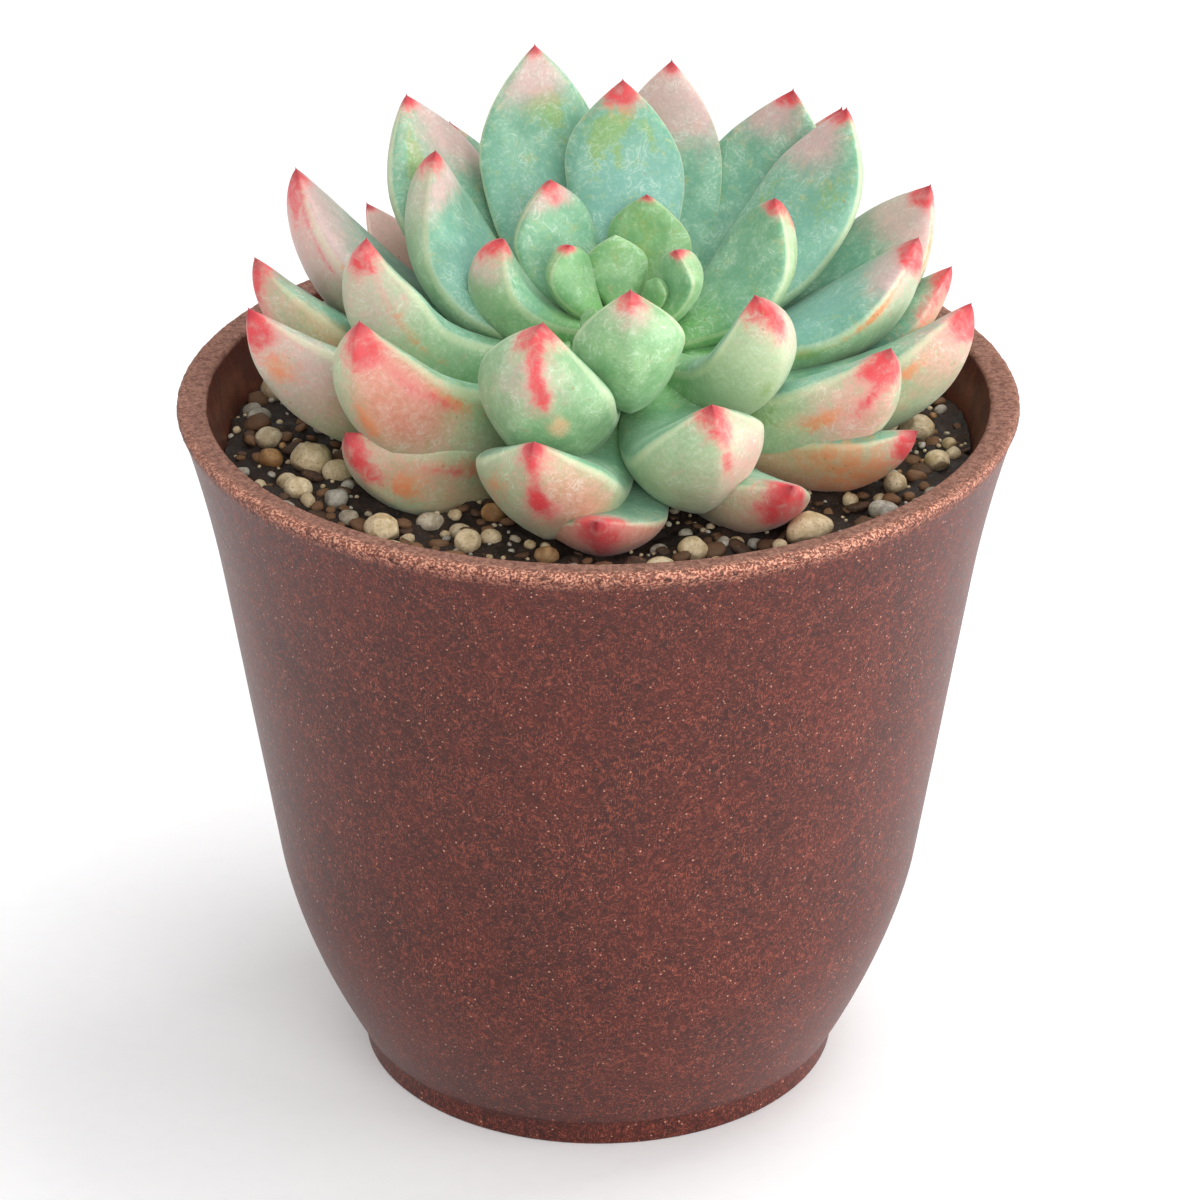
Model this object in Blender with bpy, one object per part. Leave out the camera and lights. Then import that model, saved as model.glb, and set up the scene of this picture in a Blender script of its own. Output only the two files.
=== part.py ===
"""A rosette succulent in a tapered pot of fibre composite.

Frame: metres, +Z up, origin in the middle of the pot's foot, -Y towards the front.
Every leaf, the stem, the soil, the pot and each larger pebble is one closed body.
Where two of them meet, the softer one is carved back, so that CONTACT_GAP stays between them.
"""
import math

import bmesh
import bpy
from mathutils import Vector
from mathutils.bvhtree import BVHTree

MM = 0.001
SHARP_EDGE = math.radians(40)

# Pot
RIM_DIAMETER = 100 * MM
POT_HEIGHT = 87 * MM
FOOT_DIAMETER = 58.4 * MM
WALL = 3.6 * MM
FLOOR = 4.2 * MM
FOOT_BAND_HEIGHT = 3.0 * MM
FOOT_BAND_STEP = 0.5 * MM
FOOT_RECESS_DEPTH = 1.2 * MM
FOOT_RING_WIDTH = 6.0 * MM
DRAIN_DIAMETER = 9.0 * MM
RIM_EDGE = 0.6 * MM
LIP_FLARE = 1.5 * MM
LIP_FLARE_HEIGHT = 21 * MM
BOWL_SHARE = 0.30          # part of the wall's spread that the round bowl above the foot takes
BOWL_HEIGHT_SHARE = 0.30   # part of the wall's height that the bowl takes
BOWL_CURVE = 1.8
WALL_RING_SHARES = (0.06, 0.12, 0.20, 0.32, 0.50, 0.72, 0.90)
POT_SEGMENTS = 36

# Soil and stem
SOIL_BELOW_RIM = 6.5 * MM
SOIL_WALL_GAP = 0.3 * MM
ROSETTE_OFFSET = 3.4 * MM
ROSETTE_LEAN = math.radians(9)
ROSETTE_RIM_GAP = 1.4 * MM
STEM_RADIUS = 7.0
STEM_HEIGHT = 18.0
STEM_ROUNDING = 2.2
STEM_RING_SHARES = (0, 0.25, 0.45, 0.62, 0.77, 0.88, 0.96)
STEM_SEGMENTS = 16
ROOT_DEPTH = 12.0
ROOT_RINGS = ((0.95, 0.6), (0.6, 0.9))   # share of the depth, share of the stem's radius

# Rosette: lengths in this group and in LEAVES are in mm for a rosette that reaches ROSETTE_REACH
ROSETTE_REACH = 45.0
FIRST_LEAF_HEIGHT = 16.5
LAST_LEAF_HEIGHT = 5.5
HEIGHT_SPREAD = 0.8
LEAF_FOOT = 0.6            # how far outside the stem a leaf's own origin stands
LIFT_CURVE = 1.1
WIDEST_AT = 0.66
BASE_WIDTH = 0.4
WIDTH_RISE = 1.3
TIP_POINT = 1.9
THICKEST_AT = 0.5
BASE_THICKNESS = 0.6
THICKNESS_FALL = 2.4
TIP_BLUNTNESS = 0.75
UPPER_SHARE = 0.30         # part of the thickness that stands above the leaf's edges
EDGE_ROUNDING = 0.6
CHANNEL = 0.07
KEEL = 0.22

CONTACT_GAP = 0.3 * MM

# Leaves from the youngest, in the middle, to the oldest, on the soil:
# azimuth, length, width, thickness, lift at the base and at the tip, roll, sideways sweep
LEAVES = (
    (40, 4.6, 3.4, 2.8, 66, 90, 0, 0),
    (222, 5.0, 4.0, 3.0, 62, 92, 0, 0),
    (142, 10.2, 6.8, 5.0, 30, 100, 0, 0),
    (35, 9.6, 6.8, 5.4, 50, 102, 0, 0),
    (98, 9.6, 7.5, 5.4, 40, 78, 0, 0),
    (271, 21.0, 12.8, 8.5, 15, 106, 0, 0),
    (158, 17.4, 11.0, 8.0, -6, 100, 30, 0),
    (74, 16.0, 10.5, 6.2, 15, 80, 0, 15),
    (323, 22.6, 11.5, 8.8, -8, 108, -20, 0),
    (126, 19.8, 11.5, 6.8, 12, 84, 0, -12),
    (28, 22.0, 12.5, 7.5, 8, 80, 0, 10),
    (243, 27.2, 16.5, 11.5, -12, 110, 0, 0),
    (151, 32.0, 17.0, 9.0, -8, 85, 14, -18),
    (176, 34.5, 12.5, 9.5, -24, 92, 52, 0),
    (91, 32.3, 14.3, 7.5, 15, 82, 0, 0),
    (289, 29.0, 16.0, 11.5, -20, 78, 0, 0),
    (206, 37.6, 14.5, 11.5, -25, 87, 45, 0),
    (41, 38.0, 14.5, 8.0, 4, 73, 0, 0),
    (338, 31.5, 14.0, 11.0, -22, 68, -38, 0),
    (16, 33.6, 14.5, 9.0, -9, 55, -16, 0),
    (57, 39.6, 18.0, 7.0, -4, 74, 0, 0),
    (112, 41.0, 16.2, 7.5, 5, 82, 0, -6),
    (133, 41.6, 17.5, 8.0, -2, 72, 8, 0),
    (81, 39.0, 15.0, 7.0, 4, 76, 0, 0),
    (251, 31.5, 17.5, 11.0, -20, 70, 0, 0),
    (154, 44.6, 17.0, 10.0, -13, 66, 26, 0),
    (30, 40.5, 17.0, 8.5, -11, 57, -4, 0),
    (184, 43.0, 13.5, 10.5, -21, 60, 48, 0),
    (3, 37.8, 14.0, 10.5, -20, 55, -35, 0),
    (50, 41.2, 15.0, 7.0, -1, 64, 0, 0),
    (167, 43.0, 12.5, 9.5, -18, 54, 35, 0),
    (121, 39.8, 13.5, 7.0, -4, 53, 0, 0),
    (138, 38.0, 12.0, 7.0, -12, 40, 10, 0),
    (209, 33.4, 13.5, 10.0, -27, 52, 45, 0),
    (19, 37.0, 11.5, 7.5, -14, 46, -12, 0),
    (303, 29.0, 14.0, 8.0, -15, 42, -25, 0),
    (335, 31.4, 12.0, 8.0, -16, 37, -30, 0),
    (264, 29.0, 15.0, 7.0, -18, 42, 0, 0),
    (66, 40.0, 13.5, 6.5, -8, 46, 0, 0),
    (96, 41.0, 13.5, 6.5, -8, 44, 0, 0),
    (156, 37.0, 12.5, 6.0, -12, 22, 0, 0),
    (36, 37.0, 12.5, 6.0, -12, 24, 0, 0),
    (80, 35.0, 12.5, 6.0, -12, 20, 0, 0),
    (112, 35.0, 12.5, 6.0, -12, 20, 0, 0),
)
LEAF_RINGS = 7
RING_CROWDING = 1.25
CENTRELINE_STEPS = 60
FINE_STEPS = 10
LEAF_SECTION = (0, 60, 120, 180, 222, 270, 318)

# Pebbles: azimuth, distance from the pot's wall, length, width, height (mm) and turn
PEBBLES = (
    (161, 3.4, 4.6, 4.2, 4.0, 20),
    (192, 10.0, 6.6, 5.0, 4.2, 100),
    (181, 5.4, 3.8, 3.2, 2.8, 60),
    (203, 6.6, 3.6, 3.2, 3.0, 150),
    (18, 3.4, 4.2, 3.8, 3.4, 70),
    (3, 6.4, 4.4, 3.8, 3.4, 130),
    (350, 4.0, 3.4, 3.0, 2.8, 40),
    (313, 9.0, 6.4, 4.6, 3.8, 45),
    (289, 11.6, 3.8, 3.4, 3.0, 0),
    (226, 9.0, 5.2, 3.8, 3.4, 130),
    (243, 11.8, 4.2, 3.6, 3.0, 80),
    (339, 7.4, 3.2, 3.0, 2.8, 110),
)
PEBBLE_RISE = 0.22   # how far a pebble's middle stands above the soil, as a share of its height
PEBBLE_LUMPS = 0.03
PEBBLE_LUMP_PITCH = (5, 6, 5)

# Colours: red, green, blue, roughness
POT_FINISH = (0.165, 0.053, 0.042, 0.45)
SOIL_FINISH = (0.022, 0.016, 0.012, 0.95)
STEM_FINISH = (0.30, 0.36, 0.18, 0.60)
INNER_LEAF_FINISH = (0.28, 0.48, 0.22, 0.50)
MIDDLE_LEAF_FINISH = (0.36, 0.55, 0.42, 0.55)
OUTER_LEAF_FINISH = (0.55, 0.42, 0.32, 0.55)
PEBBLE_FINISH = (0.52, 0.44, 0.32, 0.75)
INNER_LEAF_COUNT = 5
OUTER_LEAF_START = 24


# ---------------------------------------------------------------- scene helpers

def clear_scene():
    for obj in list(bpy.data.objects):
        bpy.data.objects.remove(obj, do_unlink=True)


def make_material(name, finish):
    material = bpy.data.materials.new(name)
    material.use_nodes = True
    shader = material.node_tree.nodes["Principled BSDF"]
    shader.inputs["Base Color"].default_value = (*finish[:3], 1.0)
    shader.inputs["Roughness"].default_value = finish[3]
    shader.inputs["Metallic"].default_value = 0.0
    return material


def add_object(name, bm, finish):
    """Turn a bmesh into a smooth-shaded object with a material of its own."""
    bmesh.ops.recalc_face_normals(bm, faces=bm.faces)
    mesh = bpy.data.meshes.new(name)
    bm.to_mesh(mesh)
    bm.free()
    mesh.shade_smooth()
    mesh.set_sharp_from_angle(angle=SHARP_EDGE)
    mesh.materials.append(make_material(name, finish))
    obj = bpy.data.objects.new(name, mesh)
    bpy.context.collection.objects.link(obj)
    return obj


def bridge(bm, lower, upper):
    """Join two rings of as many vertices with quads."""
    count = len(lower)
    for i in range(count):
        j = (i + 1) % count
        bm.faces.new((lower[i], lower[j], upper[j], upper[i]))


def cap(bm, ring, centre):
    """Close a ring of vertices with a fan around a centre vertex."""
    for i in range(len(ring)):
        bm.faces.new((ring[i], ring[(i + 1) % len(ring)], centre))


def lathe(bm, profile, segments):
    """Turn a profile of (radius, height) points; a zero radius at an end closes it there."""
    rings = []
    for radius, height in profile:
        if radius == 0:
            rings.append(bm.verts.new((0, 0, height)))
            continue
        ring = []
        for k in range(segments):
            angle = 2 * math.pi * k / segments
            ring.append(bm.verts.new((radius * math.cos(angle), radius * math.sin(angle), height)))
        rings.append(ring)
    for lower, upper in zip(rings, rings[1:]):
        if not isinstance(lower, list):
            cap(bm, upper, lower)
        elif not isinstance(upper, list):
            cap(bm, lower, upper)
        else:
            bridge(bm, lower, upper)
    if isinstance(rings[0], list):
        bridge(bm, rings[-1], rings[0])


# ---------------------------------------------------------------- pot

def wall_share(height_share):
    """How much of the spread from foot to lip the wall has at a share of its height."""
    bowl = 1 - max(0.0, 1 - height_share / BOWL_HEIGHT_SHARE) ** BOWL_CURVE
    return (1 - BOWL_SHARE) * height_share + BOWL_SHARE * bowl


def outer_radius(height):
    foot = FOOT_DIAMETER / 2 + FOOT_BAND_STEP
    lip = RIM_DIAMETER / 2 - LIP_FLARE
    share = (height - FOOT_BAND_HEIGHT) / (POT_HEIGHT - FOOT_BAND_HEIGHT)
    flare = max(0.0, 1 - (POT_HEIGHT - height) / LIP_FLARE_HEIGHT)
    return foot + (lip - foot) * wall_share(max(0.0, share)) + LIP_FLARE * flare ** 2


def inner_radius(height):
    return outer_radius(height) - WALL


def pot_profile():
    """Closed outline, from the drain hole out under the foot, up the wall and down inside."""
    foot = FOOT_DIAMETER / 2
    drain = DRAIN_DIAMETER / 2
    ring_inside = foot - FOOT_RING_WIDTH
    outline = [(drain, FOOT_RECESS_DEPTH), (ring_inside, FOOT_RECESS_DEPTH)]
    outline += [(ring_inside + FOOT_RECESS_DEPTH, 0), (foot, 0), (foot, FOOT_BAND_HEIGHT)]
    outline.append((foot + FOOT_BAND_STEP, FOOT_BAND_HEIGHT + FOOT_BAND_STEP))
    for share in WALL_RING_SHARES:
        outline.append((outer_radius(share * POT_HEIGHT), share * POT_HEIGHT))
    rim = RIM_DIAMETER / 2
    mouth = rim - WALL
    outline += [(rim, POT_HEIGHT - RIM_EDGE), (rim - RIM_EDGE, POT_HEIGHT)]
    outline += [(mouth + RIM_EDGE, POT_HEIGHT), (mouth, POT_HEIGHT - RIM_EDGE)]
    for share in reversed(WALL_RING_SHARES[1:]):
        outline.append((inner_radius(share * POT_HEIGHT), share * POT_HEIGHT))
    outline += [(inner_radius(FLOOR + WALL), FLOOR + WALL), (inner_radius(FLOOR) - WALL, FLOOR)]
    outline.append((drain, FLOOR))
    return outline


def make_pot():
    bm = bmesh.new()
    lathe(bm, pot_profile(), POT_SEGMENTS)
    return add_object("pot", bm, POT_FINISH)


# ---------------------------------------------------------------- soil

def soil_level():
    return POT_HEIGHT - SOIL_BELOW_RIM


def soil_radius(height):
    return inner_radius(height) - SOIL_WALL_GAP


def make_soil():
    """The soil fills the pot from its floor to the soil level, a small gap inside the wall."""
    bottom = FLOOR + SOIL_WALL_GAP
    shoulder = FLOOR + WALL + SOIL_WALL_GAP
    profile = [(0, bottom), (soil_radius(FLOOR) - WALL, bottom), (soil_radius(shoulder), shoulder)]
    for share in WALL_RING_SHARES[2:]:
        if shoulder < share * POT_HEIGHT < soil_level() - MM:
            profile.append((soil_radius(share * POT_HEIGHT), share * POT_HEIGHT))
    profile += [(soil_radius(soil_level()), soil_level()), (0, soil_level())]
    bm = bmesh.new()
    lathe(bm, profile, POT_SEGMENTS)
    return add_object("soil", bm, SOIL_FINISH)


# ---------------------------------------------------------------- rosette

def plant_unit():
    """Metres for one mm of the rosette's own measures, so that it fits the pot's mouth."""
    mouth = RIM_DIAMETER / 2 - WALL
    return (mouth - ROSETTE_RIM_GAP) / ROSETTE_REACH


def make_rosette_frame():
    frame = bpy.data.objects.new("rosette", None)
    bpy.context.collection.objects.link(frame)
    frame.location = (ROSETTE_OFFSET, 0, soil_level())
    frame.rotation_euler = (ROSETTE_LEAN, 0, 0)
    return frame


def stem_radius(height):
    """The stem's radius above the soil, rounded off to nothing at its growing point."""
    share = min(1.0, max(0.0, height / STEM_HEIGHT))
    return STEM_RADIUS * math.sqrt(1 - share ** STEM_ROUNDING)


def make_stem(frame):
    unit = plant_unit()
    profile = [(0, -ROOT_DEPTH)]
    for depth_share, radius_share in ROOT_RINGS:
        profile.append((radius_share * STEM_RADIUS, -depth_share * ROOT_DEPTH))
    for share in STEM_RING_SHARES:
        profile.append((stem_radius(share * STEM_HEIGHT), share * STEM_HEIGHT))
    profile.append((0, STEM_HEIGHT))
    bm = bmesh.new()
    lathe(bm, [(radius * unit, height * unit) for radius, height in profile], STEM_SEGMENTS)
    stem = add_object("stem", bm, STEM_FINISH)
    stem.parent = frame
    return stem


def leaf_width(share):
    """Half-width along the leaf, from its base (0) to its tip (1), as a share of the widest."""
    if share < WIDEST_AT:
        rise = math.sin(math.pi / 2 * share / WIDEST_AT) ** WIDTH_RISE
        return BASE_WIDTH + (1 - BASE_WIDTH) * rise
    return 1 - ((share - WIDEST_AT) / (1 - WIDEST_AT)) ** TIP_POINT


def leaf_thickness(share):
    if share < THICKEST_AT:
        rise = math.sin(math.pi / 2 * share / THICKEST_AT)
        return BASE_THICKNESS + (1 - BASE_THICKNESS) * rise
    fall = ((share - THICKEST_AT) / (1 - THICKEST_AT)) ** THICKNESS_FALL
    return (1 - fall) ** TIP_BLUNTNESS


def leaf_section(angle):
    """A point of the leaf's cross-section: half-widths across, thicknesses up.

    The upper face is gently domed with a shallow channel, and the lower one is full and keeled.
    """
    across = math.cos(angle)
    crown = max(0.0, 1 - across ** 2)
    if math.sin(angle) >= 0:
        return across, UPPER_SHARE * crown ** EDGE_ROUNDING - CHANNEL * crown ** 2
    round_part = (1 - KEEL) * crown ** EDGE_ROUNDING
    keel_part = KEEL * (1 - abs(across))
    return across, -(1 - UPPER_SHARE) * (round_part + keel_part)


def leaf_centreline(length, base_lift, tip_lift):
    """Points (distance out, height, lift) along a leaf that curls up from base to tip."""
    points = [(0.0, 0.0, math.radians(base_lift))]
    steps = CENTRELINE_STEPS * FINE_STEPS
    out = 0.0
    height = 0.0
    for step in range(1, steps + 1):
        share = (step - 0.5) / steps
        lift = math.radians(base_lift + (tip_lift - base_lift) * share ** LIFT_CURVE)
        out += length / steps * math.cos(lift)
        height += length / steps * math.sin(lift)
        if step % FINE_STEPS == 0:
            points.append((out, height, lift))
    return points


def ring_share(index):
    """Where along the leaf a ring lies: closer together towards the tip."""
    return 1 - (1 - index / LEAF_RINGS) ** RING_CROWDING


def leaf_mesh(length, width, thickness, base_lift, tip_lift, roll, sweep):
    """A leaf along +X that starts at its own origin and curls up towards +Z."""
    line = leaf_centreline(length, base_lift, tip_lift)
    turn = math.radians(roll)
    bm = bmesh.new()
    rings = []
    for index in range(LEAF_RINGS):
        share = ring_share(index)
        out, height, lift = line[round(share * CENTRELINE_STEPS)]
        aside = math.radians(sweep) * length * share ** 2 / 2
        ring = []
        for degrees in LEAF_SECTION:
            across, up = leaf_section(math.radians(degrees))
            across *= width / 2 * leaf_width(share)
            up *= thickness * leaf_thickness(share)
            side = across * math.cos(turn) - up * math.sin(turn)
            top = across * math.sin(turn) + up * math.cos(turn)
            x = out - math.sin(lift) * top
            z = height + math.cos(lift) * top
            ring.append(bm.verts.new((x, side + aside, z)))
        rings.append(ring)
    for lower, upper in zip(rings, rings[1:]):
        bridge(bm, lower, upper)
    out, height, lift = line[-1]
    tip = bm.verts.new((out, math.radians(sweep) * length / 2, height))
    cap(bm, rings[-1], tip)
    base = bm.verts.new(sum((v.co for v in rings[0]), Vector()) / len(rings[0]))
    cap(bm, rings[0], base)
    return bm


def leaf_finish(order):
    if order < INNER_LEAF_COUNT:
        return INNER_LEAF_FINISH
    if order < OUTER_LEAF_START:
        return MIDDLE_LEAF_FINISH
    return OUTER_LEAF_FINISH


def attach_height(order):
    """Height above the soil at which a leaf joins the stem, by its order from the middle."""
    share = (order / (len(LEAVES) - 1)) ** HEIGHT_SPREAD
    return FIRST_LEAF_HEIGHT + (LAST_LEAF_HEIGHT - FIRST_LEAF_HEIGHT) * share


def make_leaf(order, frame):
    unit = plant_unit()
    azimuth, length, width, thickness, base_lift, tip_lift, roll, sweep = LEAVES[order]
    bm = leaf_mesh(length, width, thickness, base_lift, tip_lift, roll, sweep)
    bmesh.ops.scale(bm, vec=(unit, unit, unit), verts=bm.verts)
    leaf = add_object(f"leaf_{order + 1:02d}", bm, leaf_finish(order))
    height = attach_height(order)
    angle = math.radians(azimuth)
    foot = (stem_radius(height) + LEAF_FOOT) * unit
    leaf.parent = frame
    leaf.location = (foot * math.cos(angle), foot * math.sin(angle), height * unit)
    leaf.rotation_euler = (0, 0, angle)
    return leaf


# ---------------------------------------------------------------- pebbles

def make_pebble(order):
    azimuth, wall_distance, length, width, height, turn = PEBBLES[order]
    bm = bmesh.new()
    bmesh.ops.create_icosphere(bm, subdivisions=2, radius=0.5)
    for vert in bm.verts:
        lump = 0.0
        for axis, pitch in enumerate(PEBBLE_LUMP_PITCH):
            lump += math.sin(pitch * vert.co[axis] + (axis + 1) * order)
        vert.co *= 1 + PEBBLE_LUMPS * lump
        vert.co = Vector((vert.co.x * length, vert.co.y * width, vert.co.z * height)) * MM
    pebble = add_object(f"pebble_{order + 1:02d}", bm, PEBBLE_FINISH)
    distance = inner_radius(soil_level()) - wall_distance * MM
    angle = math.radians(azimuth)
    rise = PEBBLE_RISE * height * MM
    place = (distance * math.cos(angle), distance * math.sin(angle), soil_level() + rise)
    pebble.location = place
    pebble.rotation_euler = (0, 0, math.radians(turn))
    return pebble


# ---------------------------------------------------------------- carving

def grown_copy(obj):
    """A hidden copy of an object, CONTACT_GAP larger all over, to carve its neighbours with."""
    bm = bmesh.new()
    bm.from_mesh(obj.data)
    bmesh.ops.triangulate(bm, faces=bm.faces)
    bm.normal_update()
    moves = [vert.normal * CONTACT_GAP for vert in bm.verts]
    for vert, move in zip(bm.verts, moves):
        vert.co += move
    mesh = bpy.data.meshes.new(obj.name + "_cutter")
    bm.to_mesh(mesh)
    bm.free()
    cutter = bpy.data.objects.new(obj.name + "_cutter", mesh)
    bpy.context.collection.objects.link(cutter)
    cutter.matrix_world = obj.matrix_world.copy()
    cutter.hide_render = True
    cutter.display_type = "WIRE"
    return cutter


def world_tree(obj):
    points = [obj.matrix_world @ vert.co for vert in obj.data.vertices]
    return BVHTree.FromPolygons(points, [tuple(face.vertices) for face in obj.data.polygons])


def body_volume(faces):
    """Signed volume inside a set of faces."""
    total = 0.0
    for face in faces:
        first = face.verts[0].co
        for a, b in zip(face.verts[1:], face.verts[2:]):
            total += first.dot(a.co.cross(b.co)) / 6
    return total


def connected_bodies(bm):
    bodies = []
    left = set(bm.faces)
    while left:
        group = {left.pop()}
        border = list(group)
        while border:
            face = border.pop()
            for edge in face.edges:
                for other in edge.link_faces:
                    if other in left:
                        left.discard(other)
                        group.add(other)
                        border.append(other)
        bodies.append(group)
    return bodies


def keep_main_body(mesh):
    """Drop the crumbs that a cut leaves beside the main body."""
    bm = bmesh.new()
    bm.from_mesh(mesh)
    bodies = connected_bodies(bm)
    main = max(bodies, key=lambda faces: abs(body_volume(faces)))
    crumbs = [face for faces in bodies if faces is not main for face in faces]
    bmesh.ops.delete(bm, geom=crumbs, context="FACES")
    bmesh.ops.recalc_face_normals(bm, faces=bm.faces)
    bm.to_mesh(mesh)
    bm.free()


def carve(target, cutters):
    """Cut the grown copies of harder or younger neighbours out of a body."""
    tree = world_tree(target)
    touching = [cutter for cutter in cutters if tree.overlap(world_tree(cutter))]
    if not touching:
        return
    for cutter in touching:
        cut = target.modifiers.new(cutter.name, "BOOLEAN")
        cut.operation = "DIFFERENCE"
        cut.solver = "EXACT"
        cut.use_self = True
        cut.object = cutter
    shown = target.evaluated_get(bpy.context.evaluated_depsgraph_get())
    mesh = bpy.data.meshes.new_from_object(shown)
    target.modifiers.clear()
    target.data = mesh
    keep_main_body(mesh)


def remove_cutters(cutters):
    for cutter in cutters:
        bpy.data.objects.remove(cutter, do_unlink=True)


def main():
    clear_scene()
    make_pot()
    soil = make_soil()
    frame = make_rosette_frame()
    stem = make_stem(frame)
    leaves = [make_leaf(order, frame) for order in range(len(LEAVES))]
    pebbles = [make_pebble(order) for order in range(len(PEBBLES))]
    bpy.context.view_layer.update()

    cutters = [grown_copy(obj) for obj in [stem] + pebbles]
    for leaf in leaves:
        cutter = grown_copy(leaf)
        bpy.context.view_layer.update()
        carve(leaf, cutters)
        cutters.append(cutter)
    carve(soil, cutters)
    remove_cutters(cutters)


main()
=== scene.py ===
"""Looks of the potted succulent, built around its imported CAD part."""
import math
from itertools import product

import bmesh
import bpy
import numpy as np
from mathutils import Matrix, Vector
from mathutils.kdtree import KDTree


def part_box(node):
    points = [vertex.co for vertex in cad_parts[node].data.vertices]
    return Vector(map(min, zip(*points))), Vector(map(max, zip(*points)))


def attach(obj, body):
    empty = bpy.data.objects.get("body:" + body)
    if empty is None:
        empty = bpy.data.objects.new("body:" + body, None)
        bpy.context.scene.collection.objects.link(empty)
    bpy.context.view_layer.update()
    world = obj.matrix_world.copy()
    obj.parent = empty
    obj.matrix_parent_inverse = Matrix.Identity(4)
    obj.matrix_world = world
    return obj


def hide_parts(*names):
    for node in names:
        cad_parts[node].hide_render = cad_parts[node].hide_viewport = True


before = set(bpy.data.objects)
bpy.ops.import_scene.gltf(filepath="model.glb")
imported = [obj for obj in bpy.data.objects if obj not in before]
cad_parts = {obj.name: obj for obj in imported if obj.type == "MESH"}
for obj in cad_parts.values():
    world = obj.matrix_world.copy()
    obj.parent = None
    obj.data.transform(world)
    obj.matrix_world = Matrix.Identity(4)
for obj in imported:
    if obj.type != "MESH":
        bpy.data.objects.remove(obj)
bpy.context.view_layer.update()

MM = 0.001
ROOT = "root"

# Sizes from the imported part
pot_low, pot_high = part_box("pot")
POT_HEIGHT = pot_high.z
RIM_RADIUS = (pot_high.x - pot_low.x) / 2
SOIL_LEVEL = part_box("soil")[1].z
PEBBLE_COUNT = sum(name.startswith("pebble_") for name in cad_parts)

# Pot
FOOT_RADIUS = 29.2 * MM
WALL = 3.6 * MM
FLOOR = 4.2 * MM
FOOT_BAND_HEIGHT = 3.0 * MM
FOOT_BAND_STEP = 0.5 * MM
FOOT_RECESS_DEPTH = 1.2 * MM
FOOT_RING_WIDTH = 6.0 * MM
FOOT_ROUNDING = 0.4 * MM
DRAIN_RADIUS = 4.5 * MM
LIP_FLARE = 1.5 * MM
LIP_FLARE_HEIGHT = 21 * MM
BOWL_SHARE = 0.30
BOWL_HEIGHT_SHARE = 0.30
BOWL_CURVE = 1.8
POT_SEGMENTS = 720
WALL_STEPS = 60
RIM_ROUNDING = 0.7 * MM
WEAR_REACH = 1.3 * MM
CHIP_DEPTH = 0.30 * MM
GRAIN_HEIGHT = 0.05 * MM
WALL_UNEVENNESS = 0.10 * MM

# Rosette: its place and lean, then its own measures in mm and shares of a leaf
ROSETTE_OFFSET = 3.4 * MM
ROSETTE_LEAN = math.radians(9)
STEM_RADIUS = 7.0
STEM_HEIGHT = 18.0
STEM_ROOT = 6.0
LEAF_FOOT = 0.6
FIRST_LEAF_HEIGHT = 16.5
LAST_LEAF_HEIGHT = 5.5
HEIGHT_SPREAD = 0.8
WIDEST_AT = 0.66
BASE_WIDTH = 0.4
TIP_POINT = 1.9
THICKEST_AT = 0.5
BASE_THICKNESS = 0.6
UPPER_SHARE = 0.30
EDGE_ROUNDING = 0.6
CHANNEL = 0.07
KEEL = 0.22
LEAF_RINGS = 56
LEAF_SIDES = 64
BEND_STEPS = 400
TIP_SPIKE = 0.36       # half-width of the small hard point that ends each leaf
TIP_SPIKE_SHARE = 0.03
STEM_RINGS = 40
STEM_SIDES = 48

# Soil and loose pieces: sizes from the smallest to the largest
SOIL_SIDES = 420
SOIL_RINGS = 150
SOIL_RELIEF = 0.7 * MM
SCATTER_FROM = 20 * MM
GRAVEL_COUNT, GRAVEL_SIZES = 170, (1.9 * MM, 4.8 * MM)
BARK_COUNT, BARK_SIZES = 420, (1.2 * MM, 3.8 * MM)
GRIT_COUNT, GRIT_SIZES = 420, (0.5 * MM, 1.5 * MM)
STONE_TONES = (0.80, 0.62, 0.40, 0.45) + (0.62,) * 7 + (0.55,)
STONE_LUMPS = 0.10
LOOSE_SHADE = 0.15

# Studio: a light is its name, place, aim and panel size in metres, and its power in watts
CAMERA_PLACE = (0.0002, -0.5617, 0.3387)
CAMERA_PITCH = 26.45
CAMERA_LENS = 155.3
SENSOR_WIDTH = 36
FLOOR_REACH = 3.0
FLOOR_GLOW = 0.09
WORLD_STRENGTH = 0.70
LIGHTS = (
    ("key", (0.42, 0.22, 1.05), (0, 0, 0.06), (0.6, 0.6), 4.8),
    ("side", (1.50, -0.25, 0.22), (0, 0, 0.07), (0.9, 0.42), 16.0),
    ("front", (0.30, -0.92, 0.52), (0, 0, 0.08), (0.8, 0.4), 5.0),
    ("edge", (-1.50, 0.30, 0.24), (0, 0, 0.07), (0.8, 0.4), 3.2),
)

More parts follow.
